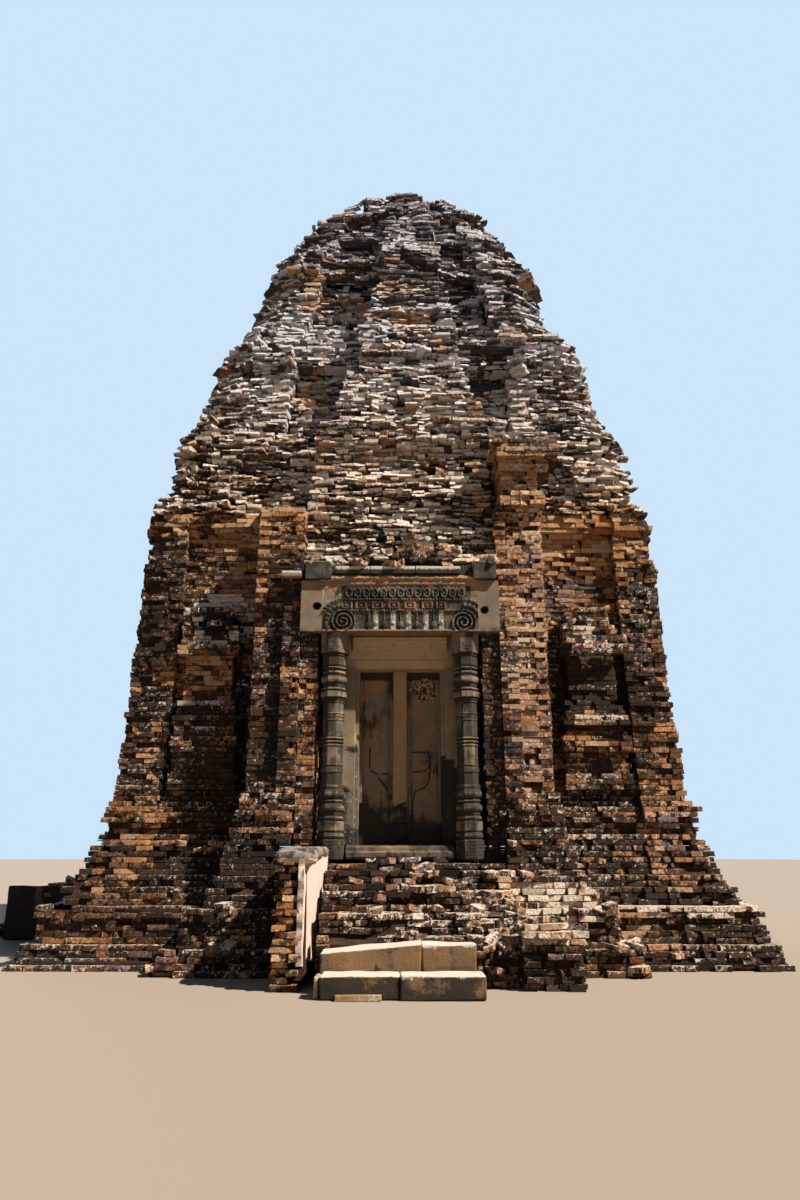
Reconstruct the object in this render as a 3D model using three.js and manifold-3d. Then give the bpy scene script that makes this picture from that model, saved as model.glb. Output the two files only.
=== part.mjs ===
// A ruined brick shrine tower of the seventh century: a moulded plinth, a square hollow cell of thick
// walls, and a superstructure of shrinking tiers worn to a convex mound. Each side has a projecting
// brick bay that holds a sandstone door set. Three of the doors are blind, and the one at the back
// opens into the cell. Millimetres, +Z up, the front faces -Y, and the origin is on the ground at the
// centre of the tower.
import * as THREE from "three";
import { mergeVertices } from "three/addons/utils/BufferGeometryUtils.js";
import Module from "manifold-3d";

const wasm = await Module();
wasm.setup();

// Driving dimensions.
const GAP = 0.3; // what pieces keep clear of what they are cut against
const FAR = 15000; // further out than any piece
const PAST = 100; // how far a cutter runs past the face that it cuts
const FUSED = 5; // how far stones of one piece run into each other
const PLINTH_JOINT = 620; // top of the lower plinth, in a recess that its moulding shades
const FLOOR_Z = 1290; // floor of the cell, level with the door sills
const WALL_TOP = 5600;
const WALL_FACE = 3500; // from the centre to the plain face of a wall
const CELL_HALF = 1600; // half the inside width of the cell
const VAULT_TOP = 11600; // where the corbelled shaft over the cell closes
const VAULT_HALF = 1500; // half its width at the foot
const VAULT_LEAN = 0.207; // how much that shrinks for each millimetre of height
const VAULT_RISE = 400;
const BAY_HALF = 1800; // half the width of a door bay
const BAY_FOOT_HALF = 1900; // and over the mouldings at its foot
const BAY_FACE = 3960; // from the centre to the face of a door bay
const TIER_FACE = 3300; // flat face of the first tier behind a door bay
const BAY_TOP = 6350; // top of the surviving capital
const CAPITAL_HALF = 2050; // half the width over both capitals of a bay
const STAIR_FACE = 4000; // flat face of the plinth behind a stair
const STAIR_HALF = 800; // half the width of the steps between their side walls
const SIDE_WALL = 390; // thickness of a stair's side wall
const STAIR_FRONT = 5960; // front of the lowest step
const LOWER_TREAD_BACK = 5640;
const UPPER_TREAD_BACK = 5300;
const LOWER_TREAD_TOP = 200;
const UPPER_TREAD_TOP = 420;
const OPENING_HALF = 500; // half the clear width of a doorway
const OPENING_TOP = 3390;
const FRAME_HALF = 700; // half the width over the door frame
const FRAME_FACE = 3750; // front of the jambs
const DOOR_RECESS = 3350; // back of the pocket that a blind door fills
const LEAF_FACE = 3480; // front of the blind leaves
const SILL_BOTTOM = 1130;
const LINTEL_BOTTOM = 3780;
const LINTEL_TOP = 4430;
const LINTEL_HALF = 1220;
const LINTEL_FACE = 4080;
const CORNICE_TOP = 4690;
const COLONETTE_X = 800;
const COLONETTE_Y = 3900;
const COLONETTE_ROOM = 185; // kept clear round its axis

// Horizontal sections of the brickwork, from the ground up. Each is the height, the half width, how
// far the corners are worn back, the half width and projection of the middle bay, the width of a
// corner pier and the depth of the panel beside it.
const PLINTH_LOWER = [
  [0, 4240, 60, 2570, 450, 900, 25],
  [90, 4230, 60, 2560, 450, 900, 25],
  [90, 4180, 60, 2500, 450, 900, 25],
  [260, 4160, 60, 2480, 450, 900, 25],
  [260, 4060, 60, 2340, 450, 900, 25],
  [530, 4030, 70, 2280, 450, 900, 25],
  [530, 4090, 70, 2300, 460, 900, 25],
  [PLINTH_JOINT, 4060, 80, 2240, 450, 900, 25],
];
const PLINTH_UPPER = [
  [PLINTH_JOINT, 3920, 80, 2100, 440, 850, 25],
  [810, 3900, 90, 2080, 440, 850, 25],
  [810, 3870, 90, 2050, 440, 850, 25],
  [960, 3820, 90, 2010, 430, 850, 25],
  [960, 3780, 100, 1990, 430, 850, 25],
  [1120, 3740, 100, 1970, 430, 800, 25],
  [FLOOR_Z, 3690, 100, 1950, 430, 800, 25],
];
const WALLS = [
  [FLOOR_Z, 3680, 100, 1900, 60, 760, 25],
  [1420, 3640, 100, 1900, 60, 740, 30],
  [1420, 3560, 80, 1900, 60, 700, 40],
  [1560, 3560, 80, 1900, 60, 700, 40],
  [1560, 3630, 90, 1900, 60, 700, 60],
  [1700, 3600, 80, 1900, 60, 660, 70],
  [1850, 3520, 60, 1900, 60, 600, 120],
  [3400, 3470, 80, 1900, 60, 590, 120],
  [4600, 3450, 100, 1900, 80, 580, 120],
  [5250, 3440, 120, 1900, 90, 580, 110],
  [5420, 3480, 120, 1900, 80, 600, 40],
  [WALL_TOP, 3450, 160, 1900, 80, 620, 40],
];
const TIER_1 = [
  [WALL_TOP, 3480, 220, 2090, 60, 1000, 60],
  [5780, 3400, 260, 2080, 70, 960, 60],
  [6080, 3310, 300, 2080, 130, 900, 100],
  [BAY_TOP, 3290, 330, 2050, 170, 880, 110],
  [6650, 3200, 350, 1500, 300, 1300, 110],
  [6650, 3290, 350, 1480, 260, 1400, 60],
  [7000, 3230, 370, 1400, 300, 1450, 70],
  [7000, 3120, 380, 1200, 360, 1450, 160],
  [7450, 3050, 400, 1080, 350, 1400, 230],
  [7900, 2940, 440, 1000, 330, 1300, 270],
];
const TIER_2 = [
  [7900, 2940, 460, 1000, 330, 1300, 270],
  [8300, 2830, 480, 920, 320, 1250, 270],
  [8300, 2930, 500, 900, 300, 1250, 140],
  [8600, 2840, 520, 880, 320, 1220, 120],
  [8600, 2890, 530, 880, 320, 1220, 90],
  [8850, 2800, 540, 860, 330, 1200, 100],
  [8850, 2690, 550, 840, 320, 1180, 170],
  [9300, 2590, 570, 800, 310, 1150, 190],
  [9300, 2550, 580, 780, 310, 1120, 270],
  [9900, 2420, 620, 740, 300, 1050, 290],
];
const TIER_3 = [
  [9900, 2460, 640, 720, 250, 1050, 290],
  [10450, 2290, 660, 680, 240, 1000, 280],
  [10450, 2400, 670, 670, 190, 980, 130],
  [10700, 2300, 680, 650, 180, 960, 110],
  [10700, 2350, 680, 650, 170, 960, 90],
  [10950, 2220, 690, 630, 170, 940, 100],
  [10950, 2100, 690, 610, 180, 900, 180],
  [11450, 1930, 680, 580, 170, 860, 190],
  [11450, 2020, 670, 570, 150, 850, 90],
  [11800, 1860, 650, 550, 150, 820, 80],
];
const CROWN = [
  [11800, 1790, 640, 540, 140, 790, 120],
  [12200, 1620, 580, 500, 120, 720, 130],
  [12200, 1700, 580, 490, 100, 710, 70],
  [12450, 1580, 540, 470, 100, 680, 70],
  [12450, 1480, 530, 450, 100, 640, 100],
  [12950, 1210, 430, 400, 80, 560, 90],
  [12950, 1270, 430, 390, 70, 550, 50],
  [13150, 1110, 390, 360, 70, 500, 50],
  [13150, 1020, 380, 340, 60, 460, 50],
  [13650, 620, 260, 170, 40, 330, 30],
  [13900, 420, 160, 130, 20, 210, 20],
];
// How much of the middle bay is left on the left of each side, from tier to tier.
const BAY_LEFT = { tier_1: 0.8, tier_2: 0.62, tier_3: 0.5, crown: 0.6 };
// The steps in which the left of the crown has broken off: how far from the centre and how low.
const CROWN_BREAKS = [
  [-1240, 12330],
  [-720, 12560],
  [-330, 13330],
];
// How far weather has moved the brickwork in and out, in each stretch.
const WEAR_PLINTH = 35;
const WEAR_WALL = 16;
const WEAR_TIER = 75;

// The stepped courses of a relief palace on a wall panel: bottom, top, half width and projection from
// the plain face of the wall. The one on the left of each door is more worn.
const PALACE_X = 2430;
const PALACE_BACK = 3300;
const PALACE_TOP = 4200;
const PALACE_WORN = 0.6;
const PALACE = [
  [1960, 2110, 410, 80],
  [2110, 2400, 380, 20],
  [2400, 2600, 410, 140],
  [2600, 2700, 370, 100],
  [2700, 2860, 410, 160],
  [2860, 3000, 370, 90],
  [3000, 3600, 300, 40],
  [3600, 3730, 400, 170],
  [3730, 3960, 360, 120],
  [3960, PALACE_TOP, 270, 50],
];

// A turned stone colonette: heights up from its foot and radii.
const COLONETTE = [
  [0, 165],
  [210, 170],
  [260, 135],
  [330, 135],
  [350, 162],
  [430, 162],
  [450, 130],
  [640, 128],
  [700, 150],
  [760, 150],
  [790, 132],
  [1900, 128],
  [1930, 148],
  [2010, 148],
  [2030, 126],
  [2060, 160],
  [2170, 160],
  [2190, 130],
  [2400, 150],
  [2420, 184],
  [LINTEL_BOTTOM - SILL_BOTTOM, 178],
];
const COLONETTE_SIDES = 8;

const MM_PER_M = 1000;

const BRICK = () => new THREE.MeshStandardMaterial({ color: 0x6b4a36, roughness: 0.95, metalness: 0 });
const WORN_BRICK = () => new THREE.MeshStandardMaterial({ color: 0x57493f, roughness: 0.97, metalness: 0 });
const SANDSTONE = () => new THREE.MeshStandardMaterial({ color: 0x857864, roughness: 0.85, metalness: 0 });
const STEP_STONE = () => new THREE.MeshStandardMaterial({ color: 0x8f7355, roughness: 0.9, metalness: 0 });

const tower = new THREE.Group();

function addPiece(name, geometry, material) {
  const mesh = new THREE.Mesh(geometry, material);
  mesh.name = name;
  tower.add(mesh);
}

// A geometry as a closed solid, and a solid as a geometry.
function solidOf(geometry) {
  const bare = geometry.index ? geometry.toNonIndexed() : geometry.clone();
  bare.deleteAttribute("normal");
  bare.deleteAttribute("uv");
  const merged = mergeVertices(bare, 1e-3);
  return new wasm.Manifold(
    new wasm.Mesh({
      numProp: 3,
      vertProperties: merged.attributes.position.array,
      triVerts: new Uint32Array(merged.index.array),
    }),
  );
}

function geometryOf(solid) {
  const mesh = solid.getMesh();
  const geometry = new THREE.BufferGeometry();
  geometry.setAttribute("position", new THREE.BufferAttribute(mesh.vertProperties, 3));
  geometry.setIndex(new THREE.BufferAttribute(mesh.triVerts, 1));
  return geometry;
}

// A block between two corners.
function block(x0, x1, y0, y1, z0, z1) {
  const box = new THREE.BoxGeometry(x1 - x0, y1 - y0, z1 - z0);
  return solidOf(box.translate((x0 + x1) / 2, (y0 + y1) / 2, (z0 + z1) / 2));
}

// An outline in plan, given as [x, y] pairs, raised from z0 to z1.
function raised(outline, z0, z1) {
  const shape = new THREE.Shape(outline.map(([x, y]) => new THREE.Vector2(x, y)));
  const body = new THREE.ExtrudeGeometry(shape, { depth: z1 - z0, bevelEnabled: false });
  return solidOf(body.translate(0, 0, z0));
}

// An outline in the plane of Y and Z, given as [y, z] pairs, run from x0 to x1.
function run(outline, x0, x1) {
  const shape = new THREE.Shape(outline.map(([y, z]) => new THREE.Vector2(y, z)));
  const body = new THREE.ExtrudeGeometry(shape, { depth: x1 - x0, bevelEnabled: false });
  body.applyMatrix4(new THREE.Matrix4().set(0, 0, 1, x0, 1, 0, 0, 0, 0, 1, 0, 0, 0, 0, 0, 1));
  return solidOf(body);
}

// Smooth, repeatable weathering between -1 and 1 at a point.
function weather(x, y, z, seed) {
  const [u, v, w] = [x / MM_PER_M, y / MM_PER_M, z / MM_PER_M];
  return (
    0.45 * Math.sin(1.3 * u + 2.1 * w + 0.7 * v + seed) +
    0.33 * Math.sin(2.9 * v - 2.3 * w + 1.1 * u + 1.7 * seed) +
    0.22 * Math.sin(4.7 * u + 3.9 * v + 5.1 * w + 2.9 * seed)
  );
}

// One horizontal section of the brickwork: a square with a middle bay, corner piers and worn corners
// on all four sides, pushed in and out by the weather.
function section([z, half, worn, bay, projection, pier, panel], wear, bayLeft) {
  const side = [
    [-half + worn, 0],
    [-half + pier, 0],
    [-half + pier, -panel],
    [-bay * bayLeft, -panel],
    [-bay * bayLeft, projection],
    [0, projection],
    [bay, projection],
    [bay, -panel],
    [half - pier, -panel],
    [half - pier, 0],
    [half - worn, 0],
    [half - worn * 0.3, -worn * 0.3],
  ];
  const ring = [];
  for (let quarter = 0; quarter < 4; quarter++) {
    const turn = (quarter * Math.PI) / 2;
    for (const [along, out] of side) {
      const reach = half + out;
      const x = Math.cos(turn) * along + Math.sin(turn) * reach;
      const y = Math.sin(turn) * along - Math.cos(turn) * reach;
      ring.push([x + wear * weather(x, y, z, 1.3), y + wear * weather(x, y, z, 4.1)]);
    }
  }
  return { z, ring };
}

// A solid through a stack of sections with the same number of points.
function loft(rows, wear, bayLeft = 1) {
  const levels = rows.map((row) => section(row, wear, bayLeft));
  const count = levels[0].ring.length;
  const points = levels.flatMap(({ z, ring }) => ring.map(([x, y]) => [x, y, z]));
  const faces = [];
  for (let level = 0; level < levels.length - 1; level++)
    for (let i = 0; i < count; i++) {
      const [a, b] = [level * count + i, level * count + ((i + 1) % count)];
      faces.push(a, b, b + count, a, b + count, a + count);
    }
  const cap = (level) =>
    THREE.ShapeUtils.triangulateShape(
      level.ring.map(([x, y]) => new THREE.Vector2(x, y)),
      [],
    );
  for (const [a, b, c] of cap(levels[0])) faces.push(a, c, b);
  const top = (levels.length - 1) * count;
  for (const [a, b, c] of cap(levels[levels.length - 1])) faces.push(top + a, top + b, top + c);
  const geometry = new THREE.BufferGeometry();
  geometry.setAttribute("position", new THREE.Float32BufferAttribute(points.flat(), 3));
  geometry.setIndex(faces);
  return solidOf(geometry);
}

// The same cutter or piece on all four sides.
function onFourSides(solid) {
  return [0, 90, 180, 270].map((degrees) => solid.rotate([0, 0, degrees]));
}

function without(solid, cutters) {
  return cutters.reduce((left, cutter) => left.subtract(cutter), solid);
}

function joined(solids) {
  return solids.reduce((all, solid) => all.add(solid));
}

// Everything beyond a flat face, between two heights and within a half width, on the front side.
const beyond = (face, halfWidth, z0, z1) => block(-halfWidth, halfWidth, -FAR, -face, z0, z1);

function buildPlinth() {
  const stairSlots = onFourSides(
    beyond(STAIR_FACE, STAIR_HALF + SIDE_WALL + GAP, -PAST, FLOOR_Z + PAST),
  );
  // The pocket that each sill and its pair of colonettes stand in.
  const sillPocket = joined([
    block(
      -COLONETTE_X - COLONETTE_ROOM,
      COLONETTE_X + COLONETTE_ROOM,
      -FAR,
      -COLONETTE_Y + COLONETTE_ROOM,
      SILL_BOTTOM,
      FLOOR_Z + PAST,
    ),
    block(-FRAME_HALF, FRAME_HALF, -FAR, -DOOR_RECESS, SILL_BOTTOM, FLOOR_Z + PAST),
  ]);
  const sillPockets = onFourSides(sillPocket);
  addPiece("plinth_lower", geometryOf(without(loft(PLINTH_LOWER, WEAR_PLINTH), stairSlots)), BRICK());
  const upper = without(loft(PLINTH_UPPER, WEAR_PLINTH), [...stairSlots, ...sillPockets]);
  addPiece("plinth_upper", geometryOf(upper), BRICK());
}

// One relief palace on the front wall, whose steps overlap a little so that they fuse.
function palace(x, share) {
  return joined(
    PALACE.map(([z0, z1, half, out]) =>
      block(x - half, x + half, -WALL_FACE - share * out, -PALACE_BACK, z0, Math.min(z1 + 1, PALACE_TOP)),
    ),
  );
}

function buildWalls() {
  const [low, high] = [FLOOR_Z - PAST, WALL_TOP + PAST];
  const flatBays = onFourSides(beyond(WALL_FACE, BAY_FOOT_HALF + 30, low, high));
  const blindPocket = block(
    -FRAME_HALF,
    FRAME_HALF,
    -WALL_FACE - PAST,
    -DOOR_RECESS,
    low,
    LINTEL_BOTTOM,
  );
  const cell = block(-CELL_HALF, CELL_HALF, -CELL_HALF, CELL_HALF, low, high);
  const shell = without(loft(WALLS, WEAR_WALL), [...flatBays, ...onFourSides(blindPocket), cell]);
  const palaces = joined([palace(PALACE_X, 1), palace(-PALACE_X, PALACE_WORN)]);
  const dressed = joined([shell, ...onFourSides(palaces)]).trimByPlane([0, 0, 1], FLOOR_Z);
  const inner = CELL_HALF - GAP;
  const share = (x0, x1, y0, y1, z0 = low, z1 = high) =>
    geometryOf(dressed.intersect(block(x0, x1, y0, y1, z0, z1)));
  addPiece("front_wall", share(-FAR, FAR, -FAR, -CELL_HALF), BRICK());
  addPiece("left_wall", share(-FAR, -CELL_HALF, -inner, inner), BRICK());
  addPiece("right_wall", share(CELL_HALF, FAR, -inner, inner), BRICK());
  // The back wall is parted at the doorway that leads into the cell.
  const doorSide = FRAME_HALF;
  addPiece("back_wall_left", share(doorSide, FAR, CELL_HALF, FAR), BRICK());
  addPiece("back_wall_right", share(-FAR, -doorSide, CELL_HALF, FAR), BRICK());
  const over = share(-doorSide + GAP, doorSide - GAP, CELL_HALF, FAR, LINTEL_BOTTOM, high);
  addPiece("back_wall_over_door", over, BRICK());
}

// The corbelled shaft over the cell, as square steps that close in towards the top.
function vault() {
  const steps = [];
  for (let z = WALL_TOP; z < VAULT_TOP; z += VAULT_RISE) {
    const half = VAULT_HALF - VAULT_LEAN * (z - WALL_TOP);
    steps.push(block(-half, half, -half, half, z - 1, z + VAULT_RISE));
  }
  return joined(steps);
}

function buildSuperstructure() {
  const flatBays = onFourSides(beyond(TIER_FACE, CAPITAL_HALF + 70, WALL_TOP - PAST, BAY_TOP + GAP));
  const shaft = vault();
  const first = without(loft(TIER_1, WEAR_TIER, BAY_LEFT.tier_1), [...flatBays, shaft]);
  addPiece("tier_1", geometryOf(first), WORN_BRICK());
  const second = loft(TIER_2, WEAR_TIER, BAY_LEFT.tier_2).subtract(shaft);
  addPiece("tier_2", geometryOf(second), WORN_BRICK());
  const third = loft(TIER_3, WEAR_TIER, BAY_LEFT.tier_3).subtract(shaft);
  addPiece("tier_3", geometryOf(third), WORN_BRICK());
  const breaks = CROWN_BREAKS.map(([x, z]) => block(-FAR, x, -FAR, FAR, z, FAR));
  addPiece("crown", geometryOf(without(loft(CROWN, WEAR_TIER, BAY_LEFT.crown), breaks)), WORN_BRICK());
}

// The brick pier on the right of a door: an inner strip that carries the lintel's ear, a small
// pilaster with its own capital, and a broad pilaster on a moulded foot.
function pier() {
  const back = -WALL_FACE - GAP;
  const foot = FLOOR_Z + GAP;
  return joined([
    block(1000, 1240, -3970, back, foot, LINTEL_BOTTOM - GAP),
    block(LINTEL_HALF + GAP, 1440, -4030, back, foot, 4450),
    block(LINTEL_HALF + GAP, 1480, -4090, back, 4440, 4560),
    block(LINTEL_HALF + GAP, BAY_HALF, -BAY_FACE, back, foot, WALL_TOP - 150),
    block(1240, BAY_FOOT_HALF, -4120, back, foot, 1460),
    block(1240, 1840, -4030, back, 1450, 1570),
    block(1240, 1880, -4080, back, 1560, 1700),
    block(1240, 1850, -4030, back, 1690, 1850),
  ]);
}

// The corbelled capital that is left on one pier of a bay.
function capital() {
  const back = -WALL_FACE - GAP;
  const rest = -TIER_FACE - GAP;
  return joined([
    block(1290, 1870, -4060, back, WALL_TOP - 160, WALL_TOP + 60),
    block(1320, 1790, -3950, rest, WALL_TOP + 40, 6010),
    block(1290, 1940, -4060, rest, 6000, 6110),
    block(1260, CAPITAL_HALF, -4150, rest, 6100, BAY_TOP),
  ]);
}

// The worn brickwork over a door, sloping back from the lintel to the first tier.
function pediment() {
  const half = LINTEL_HALF - GAP;
  const lower = run(
    [
      [-4060, CORNICE_TOP + GAP],
      [-3960, 4820],
      [-3820, 4900],
      [-3760, 5250],
      [-3700, WALL_TOP + GAP],
      [-WALL_FACE - GAP, WALL_TOP + GAP],
      [-WALL_FACE - GAP, CORNICE_TOP + GAP],
    ].reverse(),
    -half,
    half,
  );
  const upper = run(
    [
      [-3705, WALL_TOP + GAP - 10],
      [-3620, 5900],
      [-3480, BAY_TOP],
      [-TIER_FACE - GAP, BAY_TOP],
      [-TIER_FACE - GAP, WALL_TOP + GAP],
      [-WALL_FACE - GAP, WALL_TOP + GAP],
      [-WALL_FACE - GAP, WALL_TOP + GAP - 10],
    ].reverse(),
    -half,
    half,
  );
  return lower.add(upper);
}

const mirrored = (solid) => solid.mirror([1, 0, 0]);

// The sandstone sill, wider behind the colonettes than in front.
function sill() {
  return raised(
    [
      [-615, -3990],
      [615, -3990],
      [615, -3760],
      [FRAME_HALF - GAP, -3760],
      [FRAME_HALF - GAP, -DOOR_RECESS - GAP],
      [-FRAME_HALF + GAP, -DOOR_RECESS - GAP],
      [-FRAME_HALF + GAP, -3760],
      [-615, -3760],
    ],
    SILL_BOTTOM + GAP,
    FLOOR_Z,
  );
}

// A jamb on the right, with a narrow rebate along its inner edge.
function jamb() {
  return raised(
    [
      [OPENING_HALF, -FRAME_FACE + 60],
      [OPENING_HALF + 45, -FRAME_FACE + 60],
      [OPENING_HALF + 45, -FRAME_FACE],
      [FRAME_HALF - GAP, -FRAME_FACE],
      [FRAME_HALF - GAP, -DOOR_RECESS - GAP],
      [OPENING_HALF, -DOOR_RECESS - GAP],
    ],
    FLOOR_Z + GAP,
    OPENING_TOP - GAP,
  );
}

// The head of the frame, with three fillets under the lintel.
function head() {
  const fillets = run(
    [
      [-DOOR_RECESS - GAP, OPENING_TOP],
      [-FRAME_FACE + 60, OPENING_TOP],
      [-FRAME_FACE + 60, OPENING_TOP + 45],
      [-FRAME_FACE, OPENING_TOP + 45],
      [-FRAME_FACE, OPENING_TOP + 200],
      [-FRAME_FACE - 30, OPENING_TOP + 200],
      [-FRAME_FACE - 30, OPENING_TOP + 250],
      [-FRAME_FACE - 55, OPENING_TOP + 250],
      [-FRAME_FACE - 55, OPENING_TOP + 310],
      [-FRAME_FACE - 90, OPENING_TOP + 310],
      [-FRAME_FACE - 90, LINTEL_BOTTOM - GAP],
      [-DOOR_RECESS - GAP, LINTEL_BOTTOM - GAP],
    ].reverse(),
    -600,
    600,
  );
  const ends = block(
    -FRAME_HALF + GAP,
    FRAME_HALF - GAP,
    -FRAME_FACE + 10,
    -DOOR_RECESS - GAP,
    OPENING_TOP,
    LINTEL_BOTTOM - GAP,
  );
  return fillets.add(ends);
}

// The two blind leaves, each a sunk panel in a plain border.
function leaves() {
  const side = OPENING_HALF - GAP;
  const low = FLOOR_Z + GAP;
  const high = OPENING_TOP - GAP;
  const slab = block(-side, side, -LEAF_FACE, -DOOR_RECESS - GAP, low, high);
  const sunk = block(120, 430, -LEAF_FACE - 50, -LEAF_FACE + 25, low + 110, high - 130);
  return without(slab, [sunk, mirrored(sunk)]);
}

// The band that covers the meeting of the leaves. It is broken off short of the sill.
function band() {
  return raised(
    [
      [-88, -LEAF_FACE - GAP],
      [-88, -LEAF_FACE - 60],
      [-60, -LEAF_FACE - 85],
      [60, -LEAF_FACE - 85],
      [88, -LEAF_FACE - 60],
      [88, -LEAF_FACE - GAP],
    ],
    FLOOR_Z + 330,
    OPENING_TOP - GAP,
  );
}

function colonette() {
  const profile = [
    new THREE.Vector2(0, 0),
    ...COLONETTE.map(([up, radius]) => new THREE.Vector2(radius, up)),
    new THREE.Vector2(0, COLONETTE[COLONETTE.length - 1][0]),
  ];
  const turned = new THREE.LatheGeometry(profile, COLONETTE_SIDES, Math.PI / COLONETTE_SIDES);
  turned.rotateX(Math.PI / 2);
  const placed = solidOf(turned.translate(COLONETTE_X, -COLONETTE_Y, SILL_BOTTOM + GAP));
  return placed.trimByPlane([0, 0, -1], -(LINTEL_BOTTOM - GAP));
}

// The lintel, with a raised carved field, a plain ear at each end and a socket in each ear.
function lintel() {
  const back = -WALL_FACE - GAP;
  const slab = block(-LINTEL_HALF, LINTEL_HALF, -LINTEL_FACE, back, LINTEL_BOTTOM, LINTEL_TOP);
  const field = block(-940, 940, -LINTEL_FACE - 30, -LINTEL_FACE + 5, LINTEL_BOTTOM + 40, LINTEL_TOP - 30);
  const socket = new THREE.CylinderGeometry(28, 28, 160, 10).translate(-1075, -LINTEL_FACE, 4120);
  const right = solidOf(socket);
  return slab.add(field).subtract(right).subtract(mirrored(right));
}

// The moulded course on the lintel: a sloping face between two square end blocks.
function lintelCornice() {
  const back = -WALL_FACE - GAP;
  const low = LINTEL_TOP + GAP;
  const middle = run(
    [
      [-4010, low],
      [-4060, low + 60],
      [-4130, low + 160],
      [-4130, CORNICE_TOP],
      [back, CORNICE_TOP],
      [back, low],
    ].reverse(),
    -960,
    960,
  );
  const end = block(940, LINTEL_HALF, -4140, back, low, CORNICE_TOP);
  return joined([middle, end, mirrored(end)]);
}

// Brick steps between the side walls, from the stone treads up to the sill.
function brickSteps() {
  const half = STAIR_HALF - GAP;
  return run(
    [
      [-STAIR_FACE - GAP, 0],
      [-UPPER_TREAD_BACK, 0],
      [-UPPER_TREAD_BACK, 430],
      [-5080, 450],
      [-5060, 640],
      [-4820, 670],
      [-4800, 860],
      [-4480, 880],
      [-4460, 1040],
      [-4180, 1060],
      [-4150, 1120],
      [-STAIR_FACE - GAP, SILL_BOTTOM],
    ].reverse(),
    -half,
    half,
  );
}

// A row of two tread stones side by side, a little out of line.
function tread(x0, x1, front, back, z0, z1) {
  return raised(
    [
      [x0, front + 20],
      [(x0 + x1) / 2, front],
      [x1, front + 45],
      [x1 - 20, back],
      [x0 + 30, back],
    ],
    z0,
    z1,
  );
}

// A side wall of a stair, standing up to a given height in front of the foot of the colonette.
function stairWall(front, top) {
  const underColonette = Math.min(top, SILL_BOTTOM - 10);
  return run(
    [
      [-STAIR_FACE - GAP, 0],
      [front, 0],
      [front + 30, top - 90],
      [front + 120, top - 30],
      [-4140, top],
      [-4120, underColonette],
      [-STAIR_FACE - GAP, underColonette],
    ].reverse(),
    -STAIR_HALF - SIDE_WALL,
    -STAIR_HALF,
  );
}

// The other side wall, fallen to a slope of broken brick with a stub at its front.
function fallenStairWall() {
  const slope = run(
    [
      [-STAIR_FACE - GAP, 0],
      [-5330, 0],
      [-5300, 330],
      [-5050, 420],
      [-4800, 640],
      [-4500, 760],
      [-4350, 980],
      [-4150, 1080],
      [-STAIR_FACE - GAP, 1120],
    ].reverse(),
    STAIR_HALF,
    STAIR_HALF + SIDE_WALL - GAP,
  );
  const stub = run(
    [
      [-4900, 0],
      [-5480, 0],
      [-5450, 480],
      [-5330, 570],
      [-5120, 430],
      [-4920, 330],
    ].reverse(),
    STAIR_HALF + SIDE_WALL - 40,
    1720,
  );
  return slope.add(stub);
}

function place(name, solid, degrees, material) {
  addPiece(name, geometryOf(solid.rotate([0, 0, degrees])), material);
}

function buildFront() {
  place("front_right_pier", pier().add(capital()), 0, BRICK());
  place("front_left_pier", mirrored(pier()), 0, BRICK());
  place("front_pediment", pediment(), 0, WORN_BRICK());
  place("front_sill", sill(), 0, SANDSTONE());
  place("front_right_jamb", jamb(), 0, SANDSTONE());
  place("front_left_jamb", mirrored(jamb()), 0, SANDSTONE());
  place("front_door_head", head(), 0, SANDSTONE());
  place("front_blind_door", leaves(), 0, SANDSTONE());
  place("front_door_band", band(), 0, SANDSTONE());
  place("front_right_colonette", colonette(), 0, SANDSTONE());
  place("front_left_colonette", mirrored(colonette()), 0, SANDSTONE());
  place("front_lintel", lintel(), 0, SANDSTONE());
  place("front_lintel_cornice", lintelCornice(), 0, SANDSTONE());
  place("front_brick_steps", brickSteps(), 0, BRICK());
  const upper = tread(-740, 700, -LOWER_TREAD_BACK, -UPPER_TREAD_BACK - GAP, 0, UPPER_TREAD_TOP);
  place("front_upper_tread", upper, 0, STEP_STONE());
  const lower = tread(-750, 760, -STAIR_FRONT, -LOWER_TREAD_BACK - GAP, 0, LOWER_TREAD_TOP);
  place("front_lower_tread", lower, 0, STEP_STONE());
  place("front_left_stair_wall", stairWall(-5500, 1240), 0, BRICK());
  place("front_right_stair_wall", fallenStairWall(), 0, WORN_BRICK());
}

// Another side of the tower: the same bay and door set in fewer pieces, with its own stair.
function buildOtherSide(side, degrees, { open, bay, stair }) {
  const name = (piece) => side + "_" + piece;
  place(name("door_bay"), bay, degrees, BRICK());
  const frame = joined([sill(), joinedJamb(), mirrored(joinedJamb()), head()]);
  place(name("door_frame"), open ? frame : frame.add(leavesInFrame()), degrees, SANDSTONE());
  place(name("right_colonette"), colonette(), degrees, SANDSTONE());
  place(name("left_colonette"), mirrored(colonette()), degrees, SANDSTONE());
  place(name("lintel"), lintel().add(lintelCornice().translate([0, 0, -GAP])), degrees, SANDSTONE());
  place(name("stair"), stair, degrees, BRICK());
}

// A jamb that runs into the sill and the head, for a frame in one piece.
function joinedJamb() {
  return jamb().add(
    block(
      OPENING_HALF,
      FRAME_HALF - GAP,
      -FRAME_FACE + 70,
      -DOOR_RECESS - GAP,
      FLOOR_Z - FUSED,
      OPENING_TOP + FUSED,
    ),
  );
}

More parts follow.
